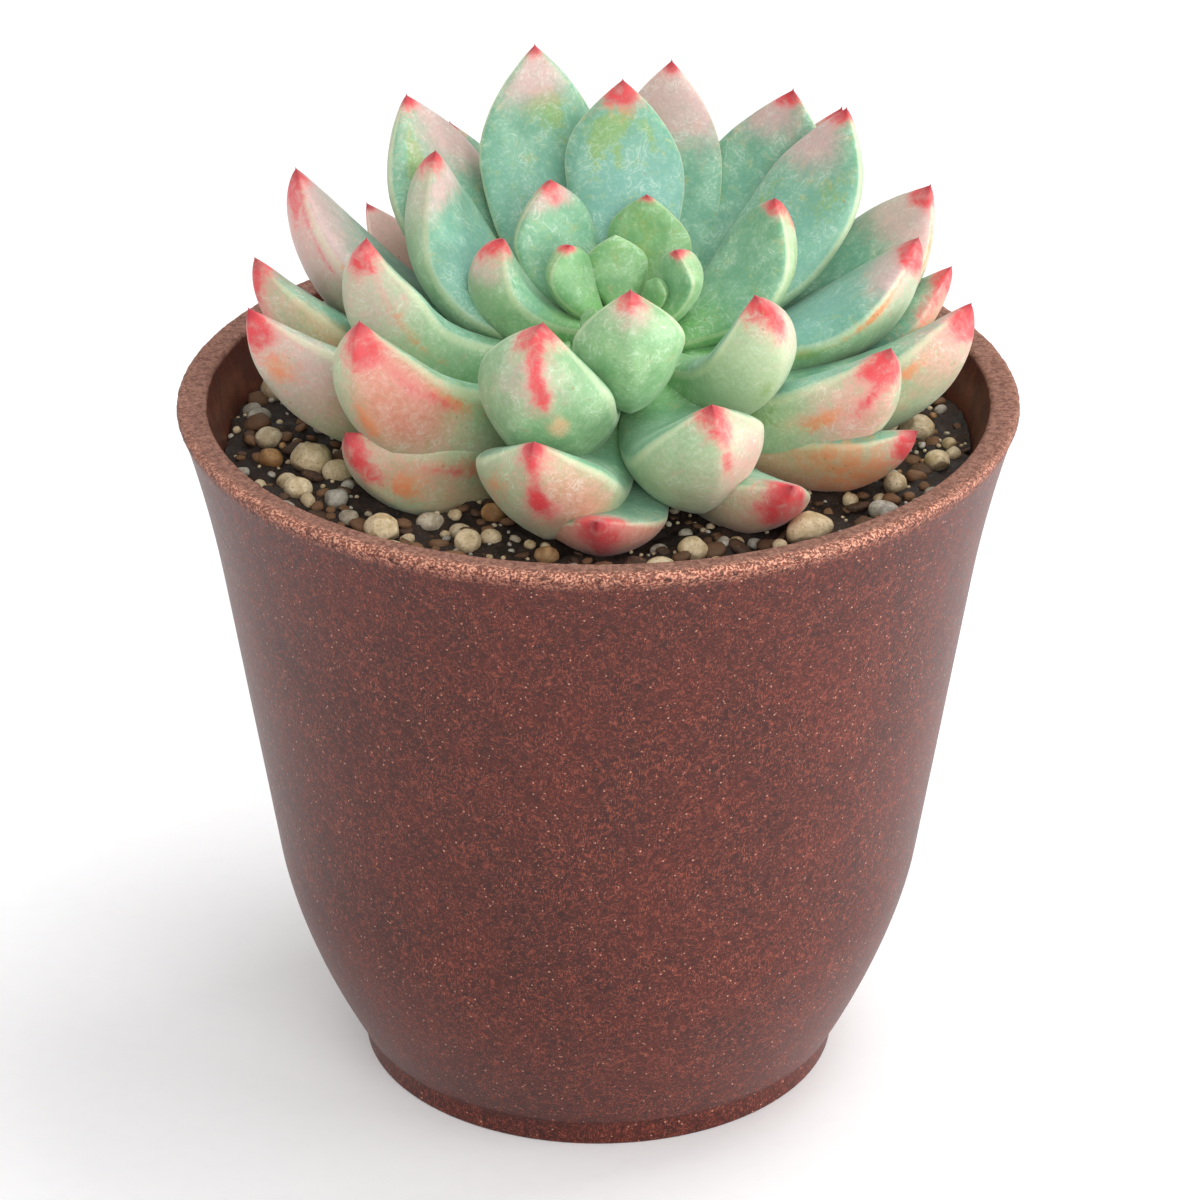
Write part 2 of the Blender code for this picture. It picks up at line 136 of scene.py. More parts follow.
# Leaves from the youngest to the oldest: azimuth (degrees), length, width, thickness (mm),
# lift at the base and at the tip, roll, sideways sweep (degrees)
LEAVES = (
    (40, 4.6, 3.4, 2.8, 66, 90, 0, 0),
    (222, 5.0, 4.0, 3.0, 62, 92, 0, 0),
    (142, 10.2, 6.8, 5.0, 30, 100, 0, 0),
    (35, 9.6, 6.8, 5.4, 50, 102, 0, 0),
    (98, 9.6, 7.5, 5.4, 40, 78, 0, 0),
    (271, 21.0, 12.8, 8.5, 15, 106, 0, 0),
    (158, 17.4, 11.0, 8.0, -6, 100, 30, 0),
    (74, 16.0, 10.5, 6.2, 15, 80, 0, 15),
    (323, 22.6, 11.5, 8.8, -8, 108, -20, 0),
    (126, 19.8, 11.5, 6.8, 12, 84, 0, -12),
    (28, 22.0, 12.5, 7.5, 8, 80, 0, 10),
    (243, 27.2, 16.5, 11.5, -12, 110, 0, 0),
    (151, 32.0, 17.0, 9.0, -8, 85, 14, -18),
    (176, 34.5, 12.5, 9.5, -24, 92, 52, 0),
    (91, 32.3, 14.3, 7.5, 15, 82, 0, 0),
    (289, 29.0, 16.0, 11.5, -20, 78, 0, 0),
    (206, 37.6, 14.5, 11.5, -25, 87, 45, 0),
    (41, 38.0, 14.5, 8.0, 4, 73, 0, 0),
    (338, 31.5, 14.0, 11.0, -22, 68, -38, 0),
    (16, 33.6, 14.5, 9.0, -9, 55, -16, 0),
    (57, 39.6, 18.0, 7.0, -4, 74, 0, 0),
    (112, 41.0, 16.2, 7.5, 5, 82, 0, -6),
    (133, 41.6, 17.5, 8.0, -2, 72, 8, 0),
    (81, 39.0, 15.0, 7.0, 4, 76, 0, 0),
    (251, 31.5, 17.5, 11.0, -20, 70, 0, 0),
    (154, 44.6, 17.0, 10.0, -13, 66, 26, 0),
    (30, 40.5, 17.0, 8.5, -11, 57, -4, 0),
    (184, 43.0, 13.5, 10.5, -21, 60, 48, 0),
    (3, 37.8, 14.0, 10.5, -20, 55, -35, 0),
    (50, 41.2, 15.0, 7.0, -1, 64, 0, 0),
    (167, 43.0, 12.5, 9.5, -18, 54, 35, 0),
    (121, 39.8, 13.5, 7.0, -4, 53, 0, 0),
    (138, 38.0, 12.0, 7.0, -12, 40, 10, 0),
    (209, 33.4, 13.5, 10.0, -27, 52, 45, 0),
    (19, 37.0, 11.5, 7.5, -14, 46, -12, 0),
    (303, 29.0, 14.0, 8.0, -15, 42, -25, 0),
    (335, 31.4, 12.0, 8.0, -16, 37, -30, 0),
    (264, 29.0, 15.0, 7.0, -18, 42, 0, 0),
    (66, 40.0, 13.5, 6.5, -8, 46, 0, 0),
    (96, 41.0, 13.5, 6.5, -8, 44, 0, 0),
    (156, 37.0, 12.5, 6.0, -12, 22, 0, 0),
    (36, 37.0, 12.5, 6.0, -12, 24, 0, 0),
    (80, 35.0, 12.5, 6.0, -12, 20, 0, 0),
    (112, 35.0, 12.5, 6.0, -12, 20, 0, 0),
)

# Looks of the leaves in the same order, the last of them hidden: the red tip as a share of the
# length, then from 0 to 1 how mauve the outer half is, how rosy the back of that half, how creamy
# the whole back and how fresh the green
LOOKS = (
    (0, 0, 0, 0.2, 1),
    (0, 0, 0, 0.2, 1),
    (0.09, 0, 0, 0.2, 0.9),
    (0.09, 0.1, 0, 0.5, 0.7),
    (0, 0, 0, 0.2, 1),
    (0.08, 0.1, 0, 0.2, 0.6),
    (0.12, 0.2, 0.1, 0.5, 0.4),
    (0.05, 0, 0, 0.3, 1),
    (0.12, 0.2, 0, 0.9, 0.2),
    (0.08, 0.2, 0, 0.4, 0.3),
    (0.08, 0.1, 0.1, 0.8, 0.3),
    (0.09, 0.1, 0, 0.2, 0.4),
    (0.07, 0.2, 0, 0.4, 0.1),
    (0.09, 0.4, 0.3, 0.6, 0.2),
    (0.07, 0, 0, 0.4, 0),
    (0.07, 0.2, 0.1, 0.6, 0.3),
    (0.08, 0.3, 0.4, 0.6, 0.4),
    (0.05, 0.2, 0, 0.5, 0.1),
    (0.09, 0.3, 0.2, 0.6, 0.3),
    (0.09, 0.3, 0.2, 0.5, 0),
    (0.05, 0.2, 0, 0.5, 0),
    (0.04, 0.2, 0, 0.5, 0.1),
    (0.05, 0.4, 0.1, 0.5, 0.1),
    (0.05, 0.6, 0, 0.7, 0.1),
    (0.06, 0.3, 0.4, 0.6, 0.3),
    (0.06, 0.9, 0.4, 0.5, 0),
    (0.06, 0.4, 0.2, 0.6, 0),
    (0.07, 0.6, 0.2, 0.5, 0.3),
    (0.07, 0.8, 0.2, 0.4, 0.2),
    (0.05, 0.5, 0.1, 0.7, 0),
    (0.08, 0.5, 0.4, 0.5, 0.1),
    (0.05, 0.4, 0.3, 0.7, 0),
    (0.04, 0.9, 0.7, 0.7, 0),
    (0.09, 0.2, 0.4, 0.9, 0.2),
    (0.08, 0.2, 0.8, 0.5, 0),
    (0.12, 0.2, 0.6, 0.9, 0.2),
    (0.07, 0, 0.5, 0.7, 0),
    (0.12, 0.3, 0.9, 0.9, 0.1),
)
HIDDEN_LEAF_LOOK = (0.07, 0.4, 0.3, 0.7, 0.1)

MARK_KINDS = ("red", "pink", "rose", "orange", "tan", "lime", "blue", "cream", "fresh")
MARK_FORCE = {"red": 0.80, "orange": 0.85, "lime": 0.85, "tan": 0.8}

# Soft spots on each leaf: kind of mark, middle as a share of the length and as an angle around
# (90 on the upper face, 270 on the keel), reach along as a share and around in degrees, strength
SPOTS = {
    3: (("lime", 0.75, 90, 0.2, 60, 0.4),),
    4: (("pink", 0.85, 300, 0.12, 90, 0.5),),
    5: (("lime", 0.80, 90, 0.3, 90, 0.6),),
    6: (("pink", 0.92, 270, 0.08, 60, 0.7), ("lime", 0.60, 330, 0.3, 20, 0.5)),
    7: (("lime", 0.35, 180, 0.2, 60, 0.5), ("pink", 0.84, 290, 0.10, 90, 0.6)),
    8: (("lime", 0.50, 80, 0.3, 40, 0.8), ("lime", 0.84, 90, 0.10, 50, 0.5)),
    9: (("red", 0.86, 285, 0.06, 22, 0.8), ("pink", 0.84, 315, 0.14, 50, 0.6),
        ("lime", 0.62, 262, 0.10, 14, 0.6), ("cream", 0.60, 320, 0.4, 90, 0.9)),
    10: (("pink", 0.90, 90, 0.08, 120, 0.7), ("red", 0.88, 92, 0.05, 28, 0.9)),
    11: (("lime", 0.62, 215, 0.28, 14, 0.9), ("red", 0.88, 250, 0.04, 30, 0.9)),
    12: (("red", 0.86, 288, 0.08, 12, 1.1), ("red", 0.79, 296, 0.05, 9, 1.0),
         ("pink", 0.84, 280, 0.12, 50, 0.6), ("tan", 0.69, 303, 0.05, 10, 1.1),
         ("lime", 0.70, 305, 0.035, 6, 0.9), ("fresh", 0.30, 270, 0.25, 90, 0.5)),
    13: (("pink", 0.88, 90, 0.08, 150, 0.8), ("tan", 0.84, 110, 0.05, 80, 0.5),
         ("lime", 0.55, 160, 0.25, 40, 0.6), ("blue", 0.45, 70, 0.3, 60, 0.8)),
    14: (("red", 0.80, 318, 0.10, 6, 0.6), ("red", 0.92, 310, 0.03, 30, 0.5),
         ("orange", 0.66, 322, 0.20, 7, 0.7), ("pink", 0.76, 300, 0.20, 60, 0.5),
         ("tan", 0.60, 300, 0.12, 40, 0.5)),
    15: (("red", 0.93, 90, 0.05, 90, 0.8), ("orange", 0.89, 90, 0.04, 90, 0.6),
         ("lime", 0.83, 74, 0.07, 40, 1.1), ("lime", 0.74, 62, 0.08, 12, 1.0),
         ("lime", 0.70, 84, 0.07, 7, 0.9), ("blue", 0.45, 110, 0.35, 80, 0.6),
         ("lime", 0.79, 124, 0.10, 10, 0.7)),
    16: (("red", 0.85, 280, 0.05, 12, 1.1), ("red", 0.92, 290, 0.03, 30, 0.5),
         ("pink", 0.74, 315, 0.22, 60, 0.7), ("lime", 0.45, 225, 0.2, 40, 0.6),
         ("cream", 0.60, 290, 0.3, 60, 0.9), ("rose", 0.74, 300, 0.16, 40, 0.5)),
    17: (("red", 0.91, 300, 0.05, 40, 0.7), ("red", 0.80, 325, 0.10, 12, 0.8),
         ("orange", 0.76, 268, 0.07, 12, 1.0), ("orange", 0.60, 340, 0.16, 10, 1.0),
         ("red", 0.66, 336, 0.12, 7, 0.9), ("rose", 0.74, 312, 0.24, 50, 1.0),
         ("pink", 0.50, 290, 0.25, 50, 0.4), ("cream", 0.5, 280, 0.4, 90, 0.8)),
    18: (("red", 0.95, 20, 0.04, 60, 0.7), ("pink", 0.87, 60, 0.12, 55, 1.0),
         ("orange", 0.72, 6, 0.20, 6, 1.0), ("pink", 0.80, 340, 0.22, 40, 0.7),
         ("lime", 0.72, 120, 0.16, 40, 0.6), ("blue", 0.40, 110, 0.3, 60, 0.8),
         ("lime", 0.55, 50, 0.2, 16, 0.6)),
    19: (("red", 0.90, 210, 0.05, 40, 0.8), ("red", 0.83, 238, 0.06, 10, 1.0),
         ("orange", 0.68, 222, 0.10, 9, 1.1), ("tan", 0.60, 214, 0.12, 12, 0.8),
         ("rose", 0.78, 240, 0.18, 60, 0.6), ("blue", 0.55, 140, 0.4, 50, 1.0),
         ("lime", 0.42, 200, 0.22, 18, 0.7), ("cream", 0.45, 250, 0.3, 60, 1.0),
         ("pink", 0.72, 240, 0.20, 60, 0.6)),
    20: (("red", 0.93, 180, 0.05, 60, 0.9), ("pink", 0.86, 130, 0.12, 80, 0.9),
         ("orange", 0.72, 190, 0.18, 7, 1.1), ("lime", 0.42, 192, 0.22, 14, 0.8),
         ("tan", 0.76, 198, 0.16, 18, 0.6), ("blue", 0.40, 90, 0.4, 60, 0.9)),
    21: (("pink", 0.92, 60, 0.10, 60, 0.9), ("red", 0.96, 40, 0.04, 60, 0.7),
         ("tan", 0.70, 178, 0.25, 6, 0.7)),
    22: (("pink", 0.91, 84, 0.08, 60, 1.1), ("lime", 0.83, 92, 0.06, 30, 0.9),
         ("lime", 0.76, 104, 0.07, 14, 0.7), ("tan", 0.72, 174, 0.22, 6, 0.9),
         ("lime", 0.55, 150, 0.30, 20, 0.6), ("blue", 0.35, 80, 0.3, 60, 0.5)),
    23: (("pink", 0.84, 140, 0.16, 50, 1.0), ("lime", 0.80, 60, 0.14, 18, 1.2),
         ("tan", 0.52, 150, 0.05, 12, 1.0), ("pink", 0.62, 172, 0.25, 18, 0.7),
         ("lime", 0.60, 70, 0.16, 10, 0.9)),
    24: (("pink", 0.88, 90, 0.14, 120, 0.9), ("pink", 0.70, 10, 0.3, 26, 0.8),
         ("cream", 0.6, 90, 0.4, 90, 0.8)),
    25: (("red", 0.87, 280, 0.07, 16, 1.1), ("red", 0.80, 286, 0.07, 13, 0.8),
         ("rose", 0.76, 310, 0.20, 50, 0.6), ("orange", 0.80, 225, 0.10, 20, 0.7),
         ("tan", 0.60, 320, 0.20, 30, 0.7), ("lime", 0.42, 225, 0.22, 40, 0.4),
         ("cream", 0.50, 260, 0.3, 70, 0.8)),
    26: (("red", 0.91, 320, 0.06, 50, 0.9), ("red", 0.78, 342, 0.12, 5, 0.8),
         ("pink", 0.80, 330, 0.22, 90, 0.8), ("orange", 0.50, 300, 0.14, 10, 0.9),
         ("lime", 0.55, 30, 0.14, 26, 0.8), ("tan", 0.60, 310, 0.2, 26, 0.7),
         ("orange", 0.66, 8, 0.12, 8, 0.6)),
    27: (("red", 0.95, 110, 0.04, 80, 0.8), ("pink", 0.88, 110, 0.12, 100, 0.9),
         ("orange", 0.84, 186, 0.10, 10, 1.0), ("tan", 0.84, 160, 0.10, 50, 0.7)),
    28: (("red", 0.92, 310, 0.05, 50, 0.9), ("orange", 0.85, 300, 0.06, 26, 0.9),
         ("tan", 0.66, 310, 0.16, 50, 0.8), ("orange", 0.62, 325, 0.05, 10, 1.0),
         ("orange", 0.52, 305, 0.04, 8, 0.9), ("pink", 0.74, 320, 0.20, 70, 0.6),
         ("cream", 0.5, 300, 0.3, 60, 0.6)),
    29: (("red", 0.93, 220, 0.05, 60, 0.9), ("rose", 0.82, 215, 0.16, 70, 0.5),
         ("orange", 0.74, 205, 0.08, 11, 0.9), ("tan", 0.60, 232, 0.14, 20, 0.8),
         ("cream", 0.45, 240, 0.3, 60, 0.9), ("orange", 0.56, 218, 0.05, 8, 0.8)),
    30: (("red", 0.94, 90, 0.04, 120, 0.8), ("pink", 0.84, 20, 0.2, 60, 0.9)),
    31: (("red", 0.90, 270, 0.09, 30, 0.9), ("rose", 0.72, 285, 0.26, 40, 0.5),
         ("tan", 0.66, 350, 0.26, 40, 1.0), ("orange", 0.62, 300, 0.16, 14, 0.7),
         ("lime", 0.58, 20, 0.24, 30, 0.5)),
    32: (("red", 0.84, 10, 0.25, 30, 0.5), ("tan", 0.75, 30, 0.3, 60, 0.9)),
    33: (("tan", 0.70, 90, 0.5, 250, 1.1), ("pink", 0.70, 90, 0.5, 250, 0.9)),
    34: (("red", 0.86, 285, 0.06, 24, 0.9), ("orange", 0.77, 296, 0.07, 20, 1.0),
         ("red", 0.62, 326, 0.20, 9, 0.8), ("orange", 0.52, 328, 0.22, 12, 0.8),
         ("rose", 0.70, 320, 0.24, 40, 0.5), ("cream", 0.5, 280, 0.4, 90, 0.9),
         ("tan", 0.55, 290, 0.22, 40, 0.8)),
    35: (("red", 0.88, 170, 0.12, 60, 0.9), ("orange", 0.70, 230, 0.22, 60, 1.0),
         ("tan", 0.60, 220, 0.30, 60, 0.8)),
    36: (("red", 0.86, 290, 0.10, 50, 1.0), ("red", 0.74, 312, 0.10, 18, 0.8),
         ("rose", 0.62, 280, 0.22, 80, 0.6), ("orange", 0.58, 290, 0.14, 24, 0.6),
         ("cream", 0.50, 240, 0.3, 60, 0.8)),
    37: (("red", 0.93, 260, 0.06, 70, 0.9), ("orange", 0.74, 270, 0.22, 130, 0.95),
         ("tan", 0.42, 270, 0.34, 180, 1.1), ("rose", 0.50, 260, 0.30, 90, 0.6)),
    38: (("red", 0.84, 275, 0.12, 14, 0.9), ("orange", 0.72, 240, 0.12, 30, 0.9),
         ("rose", 0.70, 290, 0.26, 90, 0.6), ("red", 0.80, 310, 0.10, 40, 0.4)),
}


# -------- numbers

def srgb(red, green, blue):
    """A linear colour from its 0 to 255 display values."""
    def linear(value):
        value /= 255
        if value <= 0.04045:
            return value / 12.92
        return ((value + 0.055) / 1.055) ** 2.4
    return (linear(red), linear(green), linear(blue), 1.0)


def lattice_value(cells, seed):
    """A repeatable number from 0 to 1 for each integer cell."""
    mixed = cells[..., 0] * 73856093 ^ cells[..., 1] * 19349663 ^ cells[..., 2] * 83492791
    mixed = (mixed + seed * 2654435761) & 0xFFFFFFFF
    mixed = ((mixed ^ (mixed >> 15)) * 2246822519) & 0xFFFFFFFF
    mixed = ((mixed ^ (mixed >> 13)) * 3266489917) & 0xFFFFFFFF
    return (mixed ^ (mixed >> 16)) / 0xFFFFFFFF


def smooth_noise(points, cell, seed):
    """Smooth noise from -1 to 1 whose features are about one cell across."""
    scaled = np.asarray(points, float) / cell
    whole = np.floor(scaled).astype(np.int64)
    part = scaled - whole
    part = part * part * (3 - 2 * part)
    total = np.zeros(scaled.shape[:-1])
    for corner in product((0, 1), repeat=3):
        weight = np.prod(np.where(corner, part, 1 - part), axis=-1)
        total += weight * lattice_value(whole + np.array(corner), seed)
    return 2 * total - 1


def layered_noise(points, cell, seed, layers=3):
    """Noise whose layers each have half the size and strength of the one before."""
    total = 0
    reach = 1.0
    for layer in range(layers):
        total = total + reach * smooth_noise(points, cell / 2 ** layer, seed + 31 * layer)
        reach /= 2
    return total


def smooth_step(low, high, value):
    share = np.clip((value - low) / (high - low), 0, 1)
    return share * share * (3 - 2 * share)


# -------- meshes

def tube_faces(rings, sides):
    """Quads between rings of as many points each."""
    row = np.arange(rings - 1)[:, None] * sides
    side = np.arange(sides)[None, :]
    after = (side + 1) % sides
    quads = np.stack([row + side, row + after, row + sides + after, row + sides + side], -1)
    return quads.reshape(-1, 4).tolist()


def fan_faces(first, sides, centre, flip):
    """Triangles between a ring and a middle point."""
    faces = []
    for k in range(sides):
        a = first + k
        b = first + (k + 1) % sides
        faces.append((b, a, centre) if flip else (a, b, centre))
    return faces


def closed_tube(rings, sides):
    """Faces of a tube whose ends close on the two points that follow its rings."""
    count = rings * sides
    faces = tube_faces(rings, sides) + fan_faces(0, sides, count, flip=True)
    return faces + fan_faces(count - sides, sides, count + 1, flip=False)


def full_turn(sides):
    return np.linspace(0, 2 * math.pi, sides, endpoint=False)


def revolved(radii, heights, sides):
    """A ring of points around the upright axis for each radius and height."""
    angles = full_turn(sides)
    level = np.repeat(heights[:, None], sides, axis=1)
    return np.stack([radii[:, None] * np.cos(angles), radii[:, None] * np.sin(angles), level],
                    -1).reshape(-1, 3)


def make_piece(name, points, faces, material):
    mesh = bpy.data.meshes.new(name)
    mesh.from_pydata(np.asarray(points).tolist(), [], faces)
    mesh.validate()
    mesh.shade_smooth()
    mesh.materials.append(material)
    piece = bpy.data.objects.new(name, mesh)
    bpy.context.scene.collection.objects.link(piece)
    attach(piece, ROOT)
    return piece


def add_values(piece, name, columns):
    """Store up to three numbers for each point, for the material to read."""
    values = np.zeros((len(piece.data.vertices), 3), np.float32)
    for k, column in enumerate(columns):
        values[:, k] = column
    layer = piece.data.attributes.new(name, "FLOAT_VECTOR", "POINT")
    layer.data.foreach_set("vector", values.ravel())


# -------- materials

class Paint:
    """Builds one material's nodes."""

    def __init__(self, name):
        self.material = bpy.data.materials.new(name)
        self.material.use_nodes = True
        self.nodes = self.material.node_tree.nodes
        self.links = self.material.node_tree.links
        self.shader = self.nodes["Principled BSDF"]
        self.place = self.nodes.new("ShaderNodeTexCoord").outputs["Object"]

    def feed(self, socket, value):
        """Link an output to a socket, or set the socket to a plain value."""
        if isinstance(value, bpy.types.NodeSocket):
            self.links.new(value, socket)
        elif value is not None:
            socket.default_value = value

    def node(self, kind, **inputs):
        """A new node, its inputs fed by name with underscores for spaces."""
        node = self.nodes.new(f"ShaderNode{kind}")
        for name, value in inputs.items():
            self.feed(node.inputs[name.replace("_", " ")], value)
        return node

    def set(self, **values):
        """Feed the shader's own sockets."""
        for name, value in values.items():
            self.feed(self.shader.inputs[name.replace("_", " ")], value)

    def mapped(self, **values):
        """The piece's own coordinates, moved, turned or stretched on request."""
        if not values:
            return self.place
        return self.node("Mapping", Vector=self.place, **values).outputs[0]

    def noise(self, feature, detail, roughness, distortion=0.0, **mapping):
        """Noise from 0 to 1 whose features are about this many metres across."""
        node = self.node("TexNoise", Vector=self.mapped(**mapping), Scale=1 / feature,
                         Detail=detail, Roughness=roughness, Distortion=distortion)
        return node.outputs["Fac"]

    def cells(self, feature, **mapping):
        """Distance from the nearest of scattered points, this many metres apart."""
        node = self.node("TexVoronoi", Vector=self.mapped(**mapping), Scale=1 / feature)
        return node.outputs["Distance"]

    def math(self, operation, first, second=None, third=None, clamp=False):
        node = self.node("Math")
        node.operation = operation
        node.use_clamp = clamp
        for socket, value in zip(node.inputs, (first, second, third)):
            self.feed(socket, value)
        return node.outputs[0]

    def step(self, value, low, high, start=0.0, end=1.0):
        """A smooth step of a value from low to high."""
        node = self.node("MapRange", Value=value, From_Min=low, From_Max=high,
                         To_Min=start, To_Max=end)
        node.interpolation_type = "SMOOTHSTEP"
        return node.outputs[0]

    def ridge(self, noise):
        """Distance of a noise from its middle, small along thin winding lines."""
        return self.math("ABSOLUTE", self.math("SUBTRACT", noise, 0.5))

    def mix(self, share, first, second):
        node = self.node("Mix")
        node.data_type = "RGBA"
        self.feed(node.inputs[0], share)
        self.feed(node.inputs[6], first)
        self.feed(node.inputs[7], second)
        return node.outputs[2]

    def over(self, base, colour, share, strength=None):
        """A colour laid over the base, by its share times a strength."""
        if strength is not None:
            share = self.math("MULTIPLY", share, strength)
        return self.mix(share, base, colour)

    def values(self, name):
        """The three numbers stored for each point."""
        read = self.node("Attribute")
        read.attribute_name = name
        return tuple(self.node("SeparateXYZ", Vector=read.outputs["Vector"]).outputs)

    def bump(self, height, distance, strength, under=None):
        return self.node("Bump", Strength=strength, Distance=distance, Height=height,
                         Normal=under).outputs[0]


def leaf_material():
    paint = Paint("leaf_skin")
    along, edge, under = paint.values("leaf_place")
    red, pink, orange = paint.values("leaf_blush")
    tan, lime, fresh = paint.values("leaf_tint")
    blue, cream, rose = paint.values("leaf_tone")

    cloud = paint.noise(3.4 * MM, 3, 0.6)
    patch = paint.noise(1.4 * MM, 4, 0.66, distortion=0.7, Location=(0.31,) * 3)
    grain = paint.noise(0.50 * MM, 3, 0.65, distortion=0.5)
    swirl = paint.noise(2.5 * MM, 3, 0.55, distortion=1.7, Location=(0.53,) * 3)
    flecks = paint.cells(1.5 * MM)

    def spread(mask, middle, softness, breakup):
        """A mask with its border broken up by noise."""
        wobble = paint.math("MULTIPLY_ADD", paint.math("SUBTRACT", patch, 0.5), breakup, mask)
        return paint.step(wobble, middle - softness, middle + softness)

    upper = paint.mix(paint.step(cloud, 0.35, 0.65), srgb(98, 156, 124), srgb(132, 180, 148))
    upper = paint.over(upper, srgb(126, 180, 172), blue, 0.8)
    upper = paint.over(upper, srgb(144, 186, 122), paint.step(patch, 0.53, 0.70, 0.0, 0.52))
    lower = paint.mix(paint.step(cloud, 0.35, 0.68), srgb(118, 166, 126), srgb(150, 188, 148))
    lower = paint.over(lower, srgb(196, 206, 168), cream, 0.8)
    skin = paint.mix(under, upper, lower)
    green = paint.mix(paint.step(cloud, 0.3, 0.7), srgb(112, 166, 98), srgb(146, 192, 126))
    skin = paint.over(skin, green, fresh, 0.85)
    skin = paint.over(skin, srgb(118, 178, 100), paint.step(along, 0.05, 0.42, 0.85, 0.0))
    skin = paint.over(skin, srgb(134, 168, 88), spread(lime, 0.56, 0.26, 1.5), 0.75)
    skin = paint.over(skin, srgb(216, 180, 138), spread(tan, 0.55, 0.36, 0.5))
    skin = paint.over(skin, srgb(220, 168, 172), spread(pink, 0.60, 0.52, 0.8), 0.74)
    blushed = paint.mix(paint.step(patch, 0.36, 0.64), srgb(220, 112, 98), srgb(220, 156, 138))
    skin = paint.over(skin, blushed, spread(rose, 0.60, 0.50, 0.9), 0.85)

    # powdery bloom in fine curls and grain, and a thin pale margin
    curl = paint.step(paint.ridge(swirl), 0.030, 0.004)
    veil = paint.step(cloud, 0.42, 0.62, 0.03, 0.30)
    skin = paint.over(skin, srgb(232, 240, 230), curl, veil)
    skin = paint.over(skin, srgb(222, 236, 218), paint.step(grain, 0.46, 0.76, 0.0, 0.20))
    skin = paint.over(skin, srgb(108, 160, 122), paint.step(grain, 0.48, 0.24, 0.0, 0.24))
    skin = paint.over(skin, srgb(226, 228, 190), paint.step(edge, 0.965, 0.999, 0.0, 0.34))

    # orange and red marks, the red with a soft halo and painted highlights as pale glints
    skin = paint.over(skin, srgb(228, 134, 76), spread(orange, 0.56, 0.42, 1.3), 0.8)
    halo = paint.math("MULTIPLY", spread(red, 0.52, 0.50, 1.0), 0.72)
    skin = paint.over(skin, srgb(226, 126, 124), halo)
    blush = paint.mix(paint.step(patch, 0.35, 0.62), srgb(188, 22, 50), srgb(212, 50, 58))
    skin = paint.over(skin, blush, spread(red, 0.82, 0.40, 1.5), 0.92)
    # painted highlight: pale glints on the red halo
    skin = paint.over(skin, srgb(250, 206, 200), paint.step(grain, 0.58, 0.74, 0.0, 0.22), halo)

    # rare brown flecks and the dark point of a red tip
    rare = paint.step(paint.noise(5 * MM, 2, 0.5, Location=(0.77,) * 3), 0.55, 0.66)
    mark = paint.math("MULTIPLY", paint.step(flecks, 0.15, 0.09), rare)
    skin = paint.over(skin, srgb(170, 128, 84), mark, 0.55)
    point = paint.math("MULTIPLY", paint.step(along, 0.955, 0.998), paint.step(red, 0.3, 0.8))
    skin = paint.over(skin, srgb(150, 18, 40), point, 0.85)

    rough = paint.step(grain, 0.3, 0.7, 0.42, 0.58)
    ripple = paint.noise(0.9 * MM, 3, 0.6, distortion=0.5)
    normal = paint.bump(grain, 0.03 * MM, 0.5, paint.bump(ripple, 0.10 * MM, 0.4))
    paint.set(Base_Color=skin, Roughness=rough, Normal=normal, Specular_IOR_Level=0.5)
    paint.set(Subsurface_Weight=0.14, Subsurface_Scale=1.6 * MM, Subsurface_Radius=(1.0, 0.8, 0.5))
    paint.set(Sheen_Weight=0.15, Sheen_Roughness=0.45)
    return paint.material


